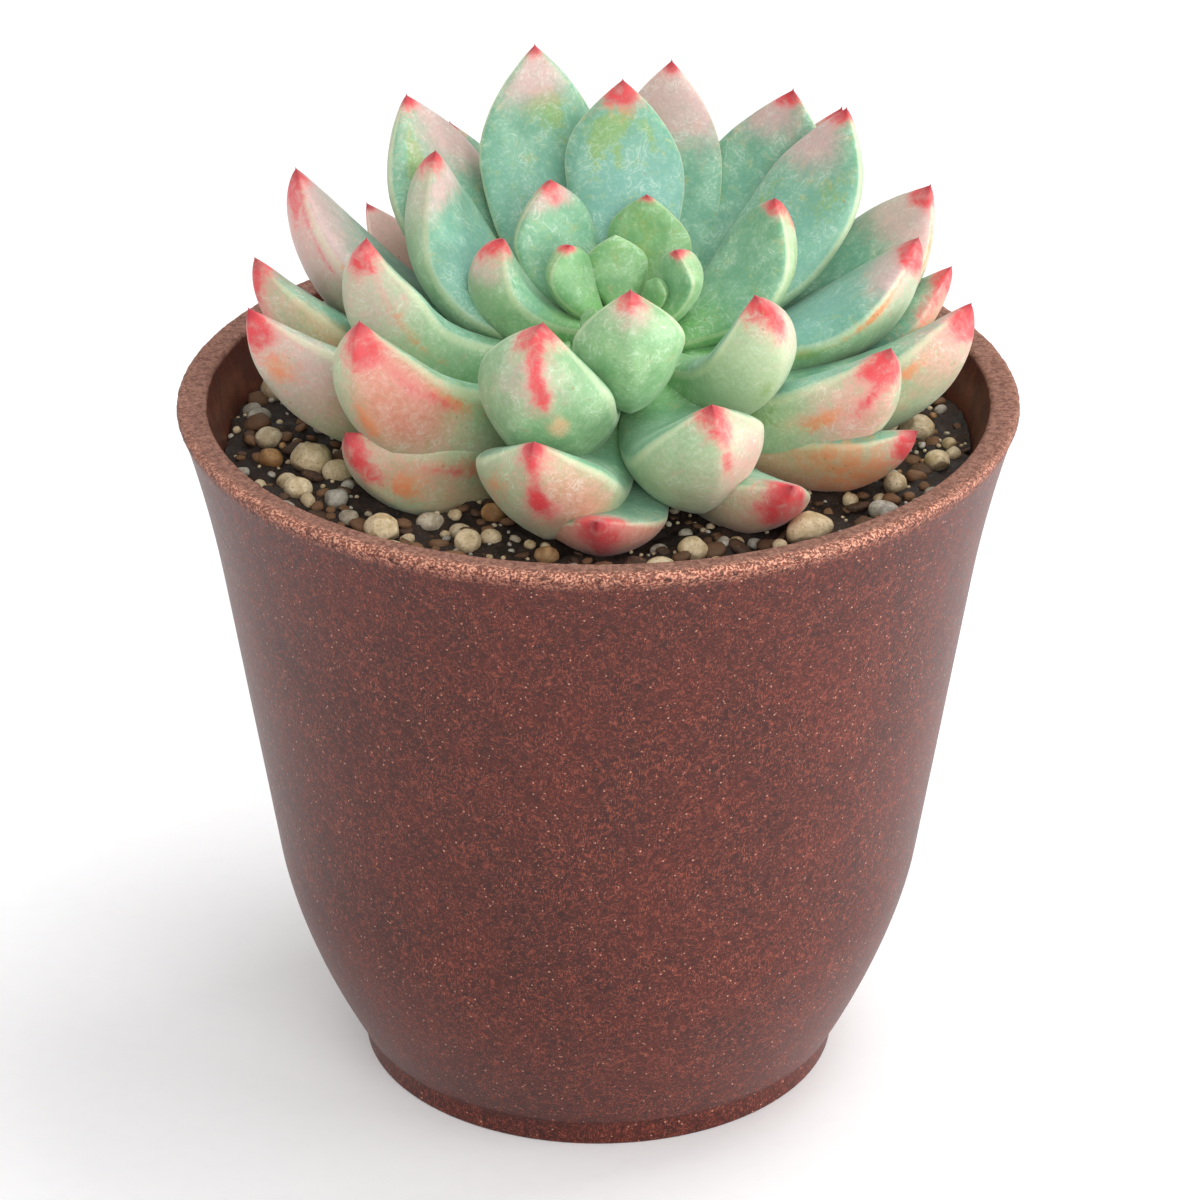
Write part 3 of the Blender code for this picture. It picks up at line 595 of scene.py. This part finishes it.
def pot_material():
    paint = Paint("pot_fibre")
    rim, chip, inside = paint.values("pot_zone")
    cloud = paint.noise(14 * MM, 4, 0.6)
    speck = paint.noise(0.75 * MM, 3, 0.75, distortion=0.8)
    fine = paint.noise(0.30 * MM, 2, 0.6, Location=(0.4,) * 3)
    thread = paint.noise(1.5 * MM, 2, 0.6, distortion=2.2, Location=(0.2,) * 3)
    patch = paint.noise(4.5 * MM, 3, 0.6, Location=(0.9,) * 3)

    body = paint.mix(paint.step(cloud, 0.34, 0.68), srgb(66, 26, 21), srgb(79, 29, 22))
    body = paint.over(body, srgb(42, 19, 17), paint.step(speck, 0.49, 0.36, 0.0, 0.70))
    body = paint.over(body, srgb(122, 58, 44), paint.step(speck, 0.53, 0.68, 0.0, 0.85))
    curl = paint.step(paint.ridge(thread), 0.022, 0.006)
    body = paint.over(body, srgb(150, 80, 62), curl, paint.step(fine, 0.40, 0.56, 0.0, 0.7))

    # long fibres in three directions, and pale dots
    fibres = [paint.cells(1.5 * MM, Rotation=turn, Scale=(5.0, 5.0, 1.0))
              for turn in ((0.4, 0.2, 0.9), (1.5, 0.8, 2.1), (2.4, 1.9, 0.3))]
    strand = paint.math("MINIMUM", paint.math("MINIMUM", fibres[0], fibres[1]), fibres[2])
    strand = paint.math("MULTIPLY", paint.step(strand, 0.26, 0.12), paint.step(patch, 0.42, 0.60))
    body = paint.over(body, srgb(160, 82, 62), strand, 0.5)
    dots = paint.step(paint.cells(0.9 * MM), 0.17, 0.08)
    body = paint.over(body, srgb(196, 142, 120), dots, paint.step(fine, 0.42, 0.58))

    # paler lip, its chipped grains, and the wall above the soil
    lip = paint.mix(paint.step(speck, 0.36, 0.64), srgb(104, 66, 54), srgb(150, 108, 92))
    lip = paint.over(lip, srgb(194, 148, 130), paint.step(fine, 0.56, 0.72, 0.0, 0.45))
    body = paint.over(body, lip, rim)
    grains = paint.mix(paint.step(fine, 0.42, 0.60), srgb(120, 62, 48), srgb(222, 160, 134))
    body = paint.over(body, grains, chip, paint.step(speck, 0.36, 0.56))
    wall = paint.mix(paint.step(patch, 0.4, 0.6), srgb(84, 48, 38), srgb(112, 64, 48))
    body = paint.over(body, wall, inside)

    rough_zone = paint.math("MAXIMUM", rim, chip, clamp=True)
    rough = paint.math("MULTIPLY_ADD", rough_zone, 0.32, paint.step(speck, 0.3, 0.7, 0.36, 0.46))
    dust = paint.bump(speck, 0.05 * MM, 0.5, paint.bump(patch, 0.22 * MM, 0.25))
    paint.set(Base_Color=body, Roughness=rough, Normal=dust, Specular_IOR_Level=0.30)
    return paint.material


def soil_material(name, dark, mid, light):
    paint = Paint(name)
    tone, _, _ = paint.values("crumb_tone")
    cloud = paint.noise(1.6 * MM, 4, 0.65)
    grain = paint.noise(0.4 * MM, 3, 0.7)
    colour = paint.mix(paint.step(cloud, 0.36, 0.62), dark, mid)
    colour = paint.over(colour, light, paint.step(grain, 0.56, 0.70), 0.6)
    # painted highlight: small amber glints in patches
    painted_glint = paint.step(paint.cells(1.1 * MM), 0.22, 0.10)
    painted_glint = paint.math("MULTIPLY", painted_glint, paint.step(cloud, 0.52, 0.62))
    colour = paint.over(colour, srgb(168, 108, 54), painted_glint, 0.8)
    colour = paint.over(colour, light, tone)
    normal = paint.bump(grain, 0.10 * MM, 0.9, paint.bump(cloud, 0.3 * MM, 0.6))
    paint.set(Base_Color=colour, Roughness=paint.step(cloud, 0.3, 0.7, 0.6, 0.95), Normal=normal)
    return paint.material


def pebble_material():
    paint = Paint("pebble_stone")
    tone, shade, _ = paint.values("stone_tone")
    cloud = paint.noise(1.5 * MM, 4, 0.6, distortion=0.4)
    grain = paint.noise(0.30 * MM, 3, 0.65)
    pits = paint.cells(0.8 * MM)
    shift = paint.step(cloud, 0.34, 0.66)
    beige = paint.mix(shift, srgb(192, 168, 126), srgb(228, 208, 172))
    grey = paint.mix(shift, srgb(150, 142, 128), srgb(204, 198, 184))
    amber = paint.mix(shift, srgb(150, 104, 60), srgb(198, 154, 102))
    colour = paint.mix(paint.step(tone, 0.30, 0.46), grey, beige)
    colour = paint.over(colour, amber, paint.step(tone, 0.88, 0.96))
    colour = paint.over(colour, srgb(112, 96, 72), paint.step(grain, 0.50, 0.30, 0.0, 0.40))
    colour = paint.over(colour, srgb(92, 76, 56), paint.step(pits, 0.18, 0.08), 0.5)
    # painted shade: each pebble darker on its lower part, and the loose gravel and grit a little
    # darker all over
    colour = paint.over(colour, srgb(70, 56, 42), shade, 0.75)
    normal = paint.bump(grain, 0.05 * MM, 0.6, paint.bump(cloud, 0.15 * MM, 0.5))
    paint.set(Base_Color=colour, Roughness=paint.step(cloud, 0.3, 0.7, 0.5, 0.75), Normal=normal)
    return paint.material


def stem_material():
    paint = Paint("stem_bark")
    cloud = paint.noise(2.0 * MM, 4, 0.6)
    grain = paint.noise(0.5 * MM, 3, 0.6)
    colour = paint.mix(paint.step(cloud, 0.36, 0.64), srgb(118, 150, 96), srgb(160, 158, 112))
    colour = paint.over(colour, srgb(128, 104, 76), paint.step(grain, 0.56, 0.70, 0.0, 0.6))
    paint.set(Base_Color=colour, Roughness=paint.step(grain, 0.3, 0.7, 0.55, 0.8))
    paint.set(Normal=paint.bump(grain, 0.08 * MM, 0.8))
    return paint.material


def floor_material():
    paint = Paint("floor_paper")
    grain = paint.noise(2.5 * MM, 3, 0.6)
    colour = paint.mix(paint.step(grain, 0.3, 0.7), (0.9, 0.9, 0.9, 1), (0.92, 0.92, 0.92, 1))
    paint.set(Base_Color=colour, Roughness=paint.step(grain, 0.3, 0.7, 0.88, 0.96))
    paint.set(Specular_IOR_Level=0.1, Emission_Color=(1, 1, 1, 1), Emission_Strength=FLOOR_GLOW)
    return paint.material


# -------- pot

def wall_share(height_share):
    bowl = 1 - np.clip(1 - height_share / BOWL_HEIGHT_SHARE, 0, None) ** BOWL_CURVE
    return (1 - BOWL_SHARE) * height_share + BOWL_SHARE * bowl


def outer_radius(height):
    foot = FOOT_RADIUS + FOOT_BAND_STEP
    lip = RIM_RADIUS - LIP_FLARE
    share = np.clip((height - FOOT_BAND_HEIGHT) / (POT_HEIGHT - FOOT_BAND_HEIGHT), 0, None)
    flare = np.clip(1 - (POT_HEIGHT - height) / LIP_FLARE_HEIGHT, 0, None)
    return foot + (lip - foot) * wall_share(share) + LIP_FLARE * flare ** 2


def inner_radius(height):
    return outer_radius(height) - WALL


def arc(centre, radius, start, end, steps):
    """Points on an arc of the profile, angles in degrees from outwards to up."""
    angles = np.radians(np.linspace(start, end, steps))
    return [(centre[0] + radius * math.cos(a), centre[1] + radius * math.sin(a)) for a in angles]


def line(start, end, steps):
    """Points from start to end, without the end."""
    shares = np.linspace(0, 1, steps, endpoint=False)
    return [tuple(np.array(start) * (1 - s) + np.array(end) * s) for s in shares]


def pot_outline():
    """Closed profile from the drain hole under the foot, up the wall and down the inside."""
    ring_inside = FOOT_RADIUS - FOOT_RING_WIDTH
    points = line((DRAIN_RADIUS, FOOT_RECESS_DEPTH), (ring_inside, FOOT_RECESS_DEPTH), 6)
    points += line((ring_inside, FOOT_RECESS_DEPTH), (ring_inside + FOOT_RECESS_DEPTH, 0), 4)
    points += line((ring_inside + FOOT_RECESS_DEPTH, 0), (FOOT_RADIUS - FOOT_ROUNDING, 0), 6)
    points += arc((FOOT_RADIUS - FOOT_ROUNDING, FOOT_ROUNDING), FOOT_ROUNDING, -90, 0, 6)
    points += line((FOOT_RADIUS, 2 * FOOT_ROUNDING), (FOOT_RADIUS, FOOT_BAND_HEIGHT), 5)
    wall_start = FOOT_BAND_HEIGHT + FOOT_BAND_STEP
    points += line((FOOT_RADIUS, FOOT_BAND_HEIGHT), (outer_radius(wall_start), wall_start), 4)
    top = POT_HEIGHT - RIM_ROUNDING
    shares = np.linspace(0, 1, WALL_STEPS, endpoint=False) ** 1.15
    points += [(float(outer_radius(h)), float(h)) for h in wall_start + (top - wall_start) * shares]
    outside = RIM_RADIUS - RIM_ROUNDING
    inside = RIM_RADIUS - WALL + RIM_ROUNDING
    points += arc((outside, top), RIM_ROUNDING, 0, 90, 10)
    points += line((outside, POT_HEIGHT), (inside, POT_HEIGHT), 12)[1:]
    points += arc((inside, top), RIM_ROUNDING, 90, 180, 8)
    bottom = FLOOR + WALL
    heights = np.linspace(top, bottom, 30)[1:]
    points += [(float(inner_radius(h)), float(h)) for h in heights]
    points += [(float(inner_radius(FLOOR)) - WALL, FLOOR)]
    points += line((float(inner_radius(FLOOR)) - WALL, FLOOR), (DRAIN_RADIUS, FLOOR), 4)[1:]
    points += [(DRAIN_RADIUS, FLOOR), (DRAIN_RADIUS, (FLOOR + FOOT_RECESS_DEPTH) / 2)]
    return np.array(points)


def make_pot(material):
    outline = pot_outline()
    rings = len(outline)
    angles = full_turn(POT_SEGMENTS)
    around = np.tile(np.stack([np.cos(angles), np.sin(angles)], -1), (rings, 1))
    radius, height = np.repeat(outline, POT_SEGMENTS, axis=0).T
    points = np.column_stack([around * radius[:, None], height])

    outer = radius > inner_radius(height) + WALL * 0.8
    inside = ~outer & (height > FLOOR + WALL) & (height < POT_HEIGHT - 2 * RIM_ROUNDING)
    near_top = smooth_step(POT_HEIGHT - WEAR_REACH, POT_HEIGHT - 0.5 * MM, height)
    rim = smooth_step(POT_HEIGHT - 0.75 * MM, POT_HEIGHT - 0.2 * MM, height)
    from_edge = np.abs(radius - (RIM_RADIUS - 0.45 * MM))
    front = 0.15 + 0.85 * smooth_step(0.0, -0.9, around[:, 1])
    chip = near_top * smooth_step(WEAR_REACH, 0.2 * MM, from_edge) * front

    lumps = layered_noise(points, 0.9 * MM, 5)
    bites = np.clip(smooth_noise(points, 0.8 * MM, 9) - 0.05, 0, 1)
    radial = -CHIP_DEPTH * chip * bites * outer + GRAIN_HEIGHT * near_top * lumps
    upward = (GRAIN_HEIGHT * lumps - 0.5 * CHIP_DEPTH * chip * bites) * rim
    slow = WALL_UNEVENNESS * smooth_noise(points, 16 * MM, 3) * outer * (height > FOOT_BAND_HEIGHT)
    points[:, :2] += around * (radial + np.minimum(slow, 0))[:, None]
    points[:, 2] = np.minimum(points[:, 2] + upward, POT_HEIGHT)

    faces = tube_faces(rings, POT_SEGMENTS)
    last = (rings - 1) * POT_SEGMENTS
    for k in range(POT_SEGMENTS):
        after = (k + 1) % POT_SEGMENTS
        faces.append((last + k, last + after, after, k))
    pot = make_piece("pot_body", points, faces, material)
    add_values(pot, "pot_zone", (rim, chip, inside))
    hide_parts("pot")


# -------- leaves

def leaf_width(share):
    rise = np.sin(math.pi / 2 * np.clip(share / WIDEST_AT, 0, 1)) ** 1.3
    fall = np.clip((share - WIDEST_AT) / (1 - WIDEST_AT), 0, 1) ** TIP_POINT
    return np.where(share < WIDEST_AT, BASE_WIDTH + (1 - BASE_WIDTH) * rise, 1 - fall)


def leaf_thickness(share):
    rise = np.sin(math.pi / 2 * np.clip(share / THICKEST_AT, 0, 1))
    fall = np.clip((share - THICKEST_AT) / (1 - THICKEST_AT), 0, 1) ** 2.4
    whole = BASE_THICKNESS + (1 - BASE_THICKNESS) * rise
    return np.where(share < THICKEST_AT, whole, (1 - fall) ** 0.75)


def leaf_section(angles):
    across = np.cos(angles)
    crown = np.clip(1 - across ** 2, 0, 1)
    upper = UPPER_SHARE * crown ** EDGE_ROUNDING - CHANNEL * crown ** 2
    lower = -(1 - UPPER_SHARE) * ((1 - KEEL) * crown ** EDGE_ROUNDING + KEEL * (1 - np.abs(across)))
    return across, np.where(np.sin(angles) >= 0, upper, lower)


def stem_radius(height):
    share = np.clip(height / STEM_HEIGHT, 0, 1)
    return STEM_RADIUS * np.sqrt(1 - share ** 2.2)


def attach_height(order):
    share = ((order - 1) / (len(LEAVES) - 1)) ** HEIGHT_SPREAD
    return FIRST_LEAF_HEIGHT + (LAST_LEAF_HEIGHT - FIRST_LEAF_HEIGHT) * share


def to_world(points, azimuth=0.0):
    """From the rosette's own mm measures to metres in the part's frame."""
    turn = Matrix.Rotation(ROSETTE_LEAN, 4, "X") @ Matrix.Rotation(math.radians(azimuth), 4, "Z")
    turned = np.asarray(points) @ np.array(turn.to_3x3()).T
    return turned * MM + np.array((ROSETTE_OFFSET, 0, SOIL_LEVEL))


def running_total(values):
    return np.concatenate([[0.0], np.cumsum(values)])


def leaf_grid(order):
    """Points of a leaf as rings, with the share along it and the section angle of each."""
    _, length, width, thickness, base_lift, tip_lift, roll, sweep = LEAVES[order - 1]
    share = 1 - (1 - np.arange(LEAF_RINGS) / LEAF_RINGS) ** 1.45
    fine = np.linspace(0, 1, BEND_STEPS + 1)
    middle = (fine[1:] + fine[:-1]) / 2
    lifts = np.radians(base_lift + (tip_lift - base_lift) * middle ** 1.1)
    out = np.interp(share, fine, running_total(np.cos(lifts)) * length / BEND_STEPS)
    up = np.interp(share, fine, running_total(np.sin(lifts)) * length / BEND_STEPS)
    lift = np.radians(base_lift + (tip_lift - base_lift) * share ** 1.1)

    angles = full_turn(LEAF_SIDES)
    across, crown = leaf_section(angles)
    body = np.clip(share * 1.006, 0, 1)
    spike = TIP_SPIKE * np.clip((1 - share) / TIP_SPIKE_SHARE, 0, 1) ** 0.8
    half = ((width / 2 * leaf_width(body)) ** 4 + spike ** 4) ** 0.25
    thick = ((thickness * leaf_thickness(body)) ** 4 + spike ** 4) ** 0.25

    # gentle unevenness: one side fuller than the other, a wavy margin
    seed = order * 7
    flat = np.zeros(LEAF_RINGS)
    line_points = np.column_stack([share * length / 9, flat + seed, flat])
    lean = 0.05 * smooth_noise(line_points, 1.0, seed)
    wave = 0.045 * width * smooth_noise(line_points + 50, 1.0, seed + 3) * (1 - share ** 6)
    side = half[:, None] * across[None, :] * (1 + lean[:, None] * across[None, :])
    top = thick[:, None] * crown[None, :]
    top += (wave * np.minimum(1, share * 2.5))[:, None] * (across[None, :] ** 3)
    turn = math.radians(roll)
    level = side * math.cos(turn) - top * math.sin(turn)
    above = side * math.sin(turn) + top * math.cos(turn)
    x = out[:, None] - np.sin(lift)[:, None] * above
    y = level + np.radians(sweep) * length * share[:, None] ** 2 / 2
    z = up[:, None] + np.cos(lift)[:, None] * above
    height = attach_height(order)
    points = np.stack([x + stem_radius(height) + LEAF_FOOT, y, z + height], -1)
    return points, share, angles


def spot_mask(share, degrees, spot):
    """How strongly a spot covers each point."""
    _, along, around, reach, width, strength = spot
    turn = (degrees[None, :] - around + 180) % 360 - 180
    far = ((share[:, None] - along) / reach) ** 2 + (turn / width) ** 2
    return strength * np.exp(-far)


def make_leaf(order, material):
    grid, share, angles = leaf_grid(order)
    azimuth = LEAVES[order - 1][0]
    points = to_world(grid.reshape(-1, 3), azimuth)
    dents = 0.10 * MM * smooth_noise(points, 4.5 * MM, order)
    dents += 0.035 * MM * smooth_noise(points, 1.4 * MM, order + 60)
    ring_middle = points.reshape(LEAF_RINGS, LEAF_SIDES, 3).mean(1)
    away = points - np.repeat(ring_middle, LEAF_SIDES, axis=0)
    away /= np.maximum(np.linalg.norm(away, axis=1, keepdims=True), 1e-9)
    calm = np.repeat(np.clip((1 - share) * 8, 0, 1), LEAF_SIDES)
    points += away * (dents * calm)[:, None]

    tip = ring_middle[-1] * 2 - ring_middle[-2]
    points = np.vstack([points, ring_middle[0], tip])
    faces = [face[::-1] for face in closed_tube(LEAF_RINGS, LEAF_SIDES)]
    leaf = make_piece(f"succulent_leaf_{order:02d}", points, faces, material)
    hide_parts(f"leaf_{order:02d}")

    degrees = np.degrees(angles)
    across = np.abs(np.cos(angles))
    look = LOOKS[order - 1] if order <= len(LOOKS) else HIDDEN_LEAF_LOOK
    red_tip, mauveness, rosiness, creaminess, freshness = look
    masks = {kind: np.zeros((LEAF_RINGS, LEAF_SIDES)) for kind in MARK_KINDS}
    if red_tip:
        start = 1 - red_tip * (1 - 0.30 * across[None, :] ** 2)
        masks["red"] += 1.15 * smooth_step(-0.8 * red_tip, 0.8 * red_tip, share[:, None] - start)
    outer_face = smooth_step(0.3, -0.3, np.sin(angles))
    column = share[:, None]
    masks["pink"] += mauveness * smooth_step(0.55, 1.0, column)
    masks["rose"] += rosiness * smooth_step(0.50, 1.0, column) * outer_face
    masks["cream"] += creaminess * smooth_step(0.15, 0.7, column)
    masks["fresh"] += freshness
    masks["blue"] += 0.35 * smooth_step(0.2, 0.5, column) * smooth_step(1.0, 0.6, column)
    for spot in SPOTS.get(order, ()):
        masks[spot[0]] += MARK_FORCE.get(spot[0], 1) * spot_mask(share, degrees, spot)
    for kind in masks:
        flat = np.clip(masks[kind], 0, 1)
        masks[kind] = np.concatenate([flat.ravel(), [flat[0].mean(), flat[-1].mean()]])
    along = np.concatenate([np.repeat(share, LEAF_SIDES), [0, 1]])
    edge = np.concatenate([np.tile(across, LEAF_RINGS), [0, 0]])
    under = smooth_step(0.12, -0.12, np.sin(angles))
    under = np.concatenate([np.tile(under, LEAF_RINGS), [1, 1]])
    add_values(leaf, "leaf_place", (along, edge, under))
    add_values(leaf, "leaf_blush", [masks[kind] for kind in ("red", "pink", "orange")])
    add_values(leaf, "leaf_tint", [masks[kind] for kind in ("tan", "lime", "fresh")])
    add_values(leaf, "leaf_tone", [masks[kind] for kind in ("blue", "cream", "rose")])
    return points


def make_stem(material):
    rings = np.linspace(-STEM_ROOT * 0.8, STEM_HEIGHT * 0.985, STEM_RINGS)
    heights = np.concatenate([[-STEM_ROOT], rings])
    radii = np.where(heights < 0, STEM_RADIUS * (1 + heights / 30), stem_radius(heights))
    sides = revolved(radii, heights, STEM_SIDES)
    sides[:, :2] *= (1 + 0.03 * smooth_noise(sides, 2.5, 4))[:, None]
    points = np.vstack([sides, (0, 0, -STEM_ROOT), (0, 0, STEM_HEIGHT)])
    faces = closed_tube(len(heights), STEM_SIDES)
    stem = make_piece("stem_core", to_world(points), faces, material)
    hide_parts("stem")


# -------- soil and stones

def soil_height(points):
    """How far the soil's surface stands off its level, in metres."""
    flat = np.column_stack([points[:, 0], points[:, 1], np.zeros(len(points))])
    crumbs = layered_noise(flat, 3.0 * MM, 12, layers=4)
    return SOIL_RELIEF * crumbs - 0.2 * MM


def make_soil(material):
    depths = np.array((0.10, 0.25, 0.5, 0.75, 0.9))
    heights = FLOOR + WALL + (SOIL_LEVEL - FLOOR - WALL) * depths
    lower = revolved(inner_radius(heights) - 0.3 * MM, heights, SOIL_SIDES)
    reach = float(inner_radius(SOIL_LEVEL)) - 0.15 * MM
    radii = reach * np.linspace(1, 0, SOIL_RINGS, endpoint=False) ** 0.8
    top = revolved(radii, np.full(SOIL_RINGS, SOIL_LEVEL), SOIL_SIDES)
    top[:, 2] += soil_height(top)
    points = np.vstack([lower, top, (0, 0, heights[0]), (0, 0, SOIL_LEVEL)])
    faces = closed_tube(len(heights) + SOIL_RINGS, SOIL_SIDES)
    soil = make_piece("soil_bed", points, faces, material)
    add_values(soil, "crumb_tone", (0,))
    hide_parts("soil")


def ball_mesh(subdivisions):
    bm = bmesh.new()
    bmesh.ops.create_icosphere(bm, subdivisions=subdivisions, radius=0.5)
    points = np.array([vert.co for vert in bm.verts])
    faces = np.array([[vert.index for vert in face.verts] for face in bm.faces])
    bm.free()
    return points, faces


def stone_shape(ball, seed):
    """A rounded stone with a few worn flats, one unit across."""
    shape = ball * (1 + STONE_LUMPS * smooth_noise(ball + seed * 3.7, 0.55, seed))[:, None]
    shape = shape * (1 + 0.3 * STONE_LUMPS * smooth_noise(ball + seed, 0.2, seed + 5))[:, None]
    rng = np.random.RandomState(seed)
    for _ in range(3):
        facing = rng.normal(size=3)
        facing /= np.linalg.norm(facing)
        depth = shape @ facing
        over = np.clip(depth - rng.uniform(0.36, 0.44), 0, None)
        shape = shape - 0.75 * over[:, None] * facing
    return shape


def chip_shape(ball, seed):
    """A splintered crumb of bark."""
    rough = ball * (1 + 0.35 * smooth_noise(ball + seed * 5.1, 0.4, seed))[:, None]
    return np.sign(rough) * np.abs(rough * 2) ** 0.8 / 2


def turned(points, angles):
    about_x, about_y, about_z = (Matrix.Rotation(a, 3, axis) for a, axis in zip(angles, "XYZ"))
    return points @ np.array(about_z @ about_y @ about_x).T


def make_pebbles(material):
    """A finer stone in the place of each CAD pebble."""
    ball, faces = ball_mesh(5)
    places = []
    for k in range(1, PEBBLE_COUNT + 1):
        low, high = (np.array(corner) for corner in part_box(f"pebble_{k:02d}"))
        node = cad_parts[f"pebble_{k:02d}"]
        verts = np.array([v.co for v in node.data.vertices])
        middle = (low + high) / 2
        flat = verts[:, :2] - middle[:2]
        _, axes = np.linalg.eigh(flat.T @ flat)
        turn = math.atan2(axes[1, 1], axes[0, 1])
        along = flat @ axes
        size = np.array((np.ptp(along[:, 1]), np.ptp(along[:, 0]), high[2] - low[2]))
        shape = turned(stone_shape(ball, 40 + k) * size * 0.98, (0, 0, turn))
        stone = make_piece(f"stone_{k:02d}", shape + middle, faces.tolist(), material)
        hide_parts(f"pebble_{k:02d}")
        tone = STONE_TONES[(k - 1) % len(STONE_TONES)]
        # painted shade: the stone darker towards its bottom, where it sits on the soil
        painted_shade_below = smooth_step(0.3, -0.3, shape[:, 2] / size[2] * 2) * 0.6
        add_values(stone, "stone_tone", (tone, painted_shade_below))
        places.append((middle, size.max() / 2))
    return places


def scatter(count, sizes, taken, leaf_tree, seed, clearance, crowd):
    """Places on the soil for loose pieces, clear of each other, the wall and the leaves."""
    smallest, largest = sizes
    rng = np.random.RandomState(seed)
    reach = float(inner_radius(SOIL_LEVEL))
    found = []
    for _ in range(count * 30):
        if len(found) >= count:
            break
        radius = math.sqrt(rng.uniform((SCATTER_FROM / reach) ** 2, 1)) * reach
        angle = rng.uniform(0, 2 * math.pi)
        size = smallest + (largest - smallest) * rng.uniform() ** 2
        angles = rng.uniform(-math.pi, math.pi, 3)
        tone = rng.uniform()
        if radius + size * 0.55 > reach:
            continue
        centre = np.array((radius * math.cos(angle), radius * math.sin(angle), SOIL_LEVEL))
        centre[2] += soil_height(centre[None, :])[0] + size * 0.12
        near = [np.linalg.norm(centre[:2] - p[:2]) < (size / 2 + r) * crowd for p, r in taken]
        if any(near):
            continue
        if leaf_tree.find(Vector(centre))[2] < size / 2 + clearance:
            continue
        taken.append((centre, size / 2))
        found.append((centre, size, angles, tone))
    return found


def make_loose(name, places, shape_of, flatness, subdivisions, material, layer):
    """One mesh of many small closed pieces; flatness is the least height and its range."""
    ball, ball_faces = ball_mesh(subdivisions)
    points, faces, tones = [], [], []
    for k, (centre, size, angles, tone) in enumerate(places):
        shape = shape_of(ball, 100 + k)
        squash = np.array((1.0, 0.72 + 0.25 * tone, flatness[0] + flatness[1] * tone))
        shape = turned(shape * squash * size, (angles[0] * 0.12, angles[1] * 0.12, angles[2]))
        faces += (ball_faces + len(points) * len(ball)).tolist()
        points.append(shape + centre)
        tones.append(np.full(len(ball), tone))
    piece = make_piece(name, np.concatenate(points), faces, material)
    add_values(piece, layer, (np.concatenate(tones), LOOSE_SHADE))


# -------- stage

def make_camera():
    data = bpy.data.cameras.new("camera")
    data.lens = CAMERA_LENS
    data.sensor_width = SENSOR_WIDTH
    camera = bpy.data.objects.new("camera", data)
    camera.location = CAMERA_PLACE
    camera.rotation_euler = (math.radians(90 - CAMERA_PITCH), 0, 0)
    bpy.context.scene.collection.objects.link(camera)
    bpy.context.scene.camera = camera


def make_light(name, place, aim, size, power):
    data = bpy.data.lights.new(name, "AREA")
    data.shape = "RECTANGLE"
    data.size, data.size_y = size
    data.energy = power
    lamp = bpy.data.objects.new(name, data)
    lamp.location = place
    lamp.rotation_euler = (Vector(aim) - Vector(place)).to_track_quat("-Z", "Y").to_euler()
    bpy.context.scene.collection.objects.link(lamp)


def make_stage(material):
    mesh = bpy.data.meshes.new("floor")
    square = ((-1, -1), (1, -1), (1, 1), (-1, 1))
    corners = [(x * FLOOR_REACH, y * FLOOR_REACH, 0) for x, y in square]
    mesh.from_pydata(corners, [], [(0, 1, 2, 3)])
    mesh.materials.append(material)
    floor = bpy.data.objects.new("floor", mesh)
    bpy.context.scene.collection.objects.link(floor)
    world = bpy.data.worlds.new("studio")
    world.use_nodes = True
    background = world.node_tree.nodes["Background"]
    background.inputs["Color"].default_value = (1, 1, 1, 1)
    background.inputs["Strength"].default_value = WORLD_STRENGTH
    bpy.context.scene.world = world
    for light in LIGHTS:
        make_light(*light)
    bpy.context.scene.view_settings.view_transform = "Standard"
    bpy.context.scene.view_settings.look = "None"


# -------- build

def main():
    make_pot(pot_material())
    make_stem(stem_material())
    skin = leaf_material()
    leaf_points = [make_leaf(order, skin) for order in range(1, len(LEAVES) + 1)]
    make_soil(soil_material("soil_peat", srgb(24, 17, 13), srgb(48, 33, 25), srgb(104, 74, 48)))

    stone = pebble_material()
    taken = make_pebbles(stone)
    every = np.concatenate(leaf_points)[::3]
    tree = KDTree(len(every))
    for k, point in enumerate(every):
        tree.insert(point, k)
    tree.balance()
    gravel = scatter(GRAVEL_COUNT, GRAVEL_SIZES, taken, tree, 11, 0.25 * MM, crowd=0.90)
    make_loose("gravel", gravel, stone_shape, (0.62, 0.25), 3, stone, "stone_tone")
    bark = scatter(BARK_COUNT, BARK_SIZES, taken, tree, 12, 0.2 * MM, crowd=0.55)
    bark_paint = soil_material("soil_bark", srgb(38, 26, 20), srgb(78, 54, 40), srgb(128, 92, 62))
    make_loose("bark", bark, chip_shape, (0.30, 0.25), 2, bark_paint, "crumb_tone")
    grit = scatter(GRIT_COUNT, GRIT_SIZES, taken, tree, 13, 0.1 * MM, crowd=0.75)
    make_loose("grit", grit, stone_shape, (0.6, 0.3), 2, stone, "stone_tone")

    make_stage(floor_material())
    make_camera()


main()
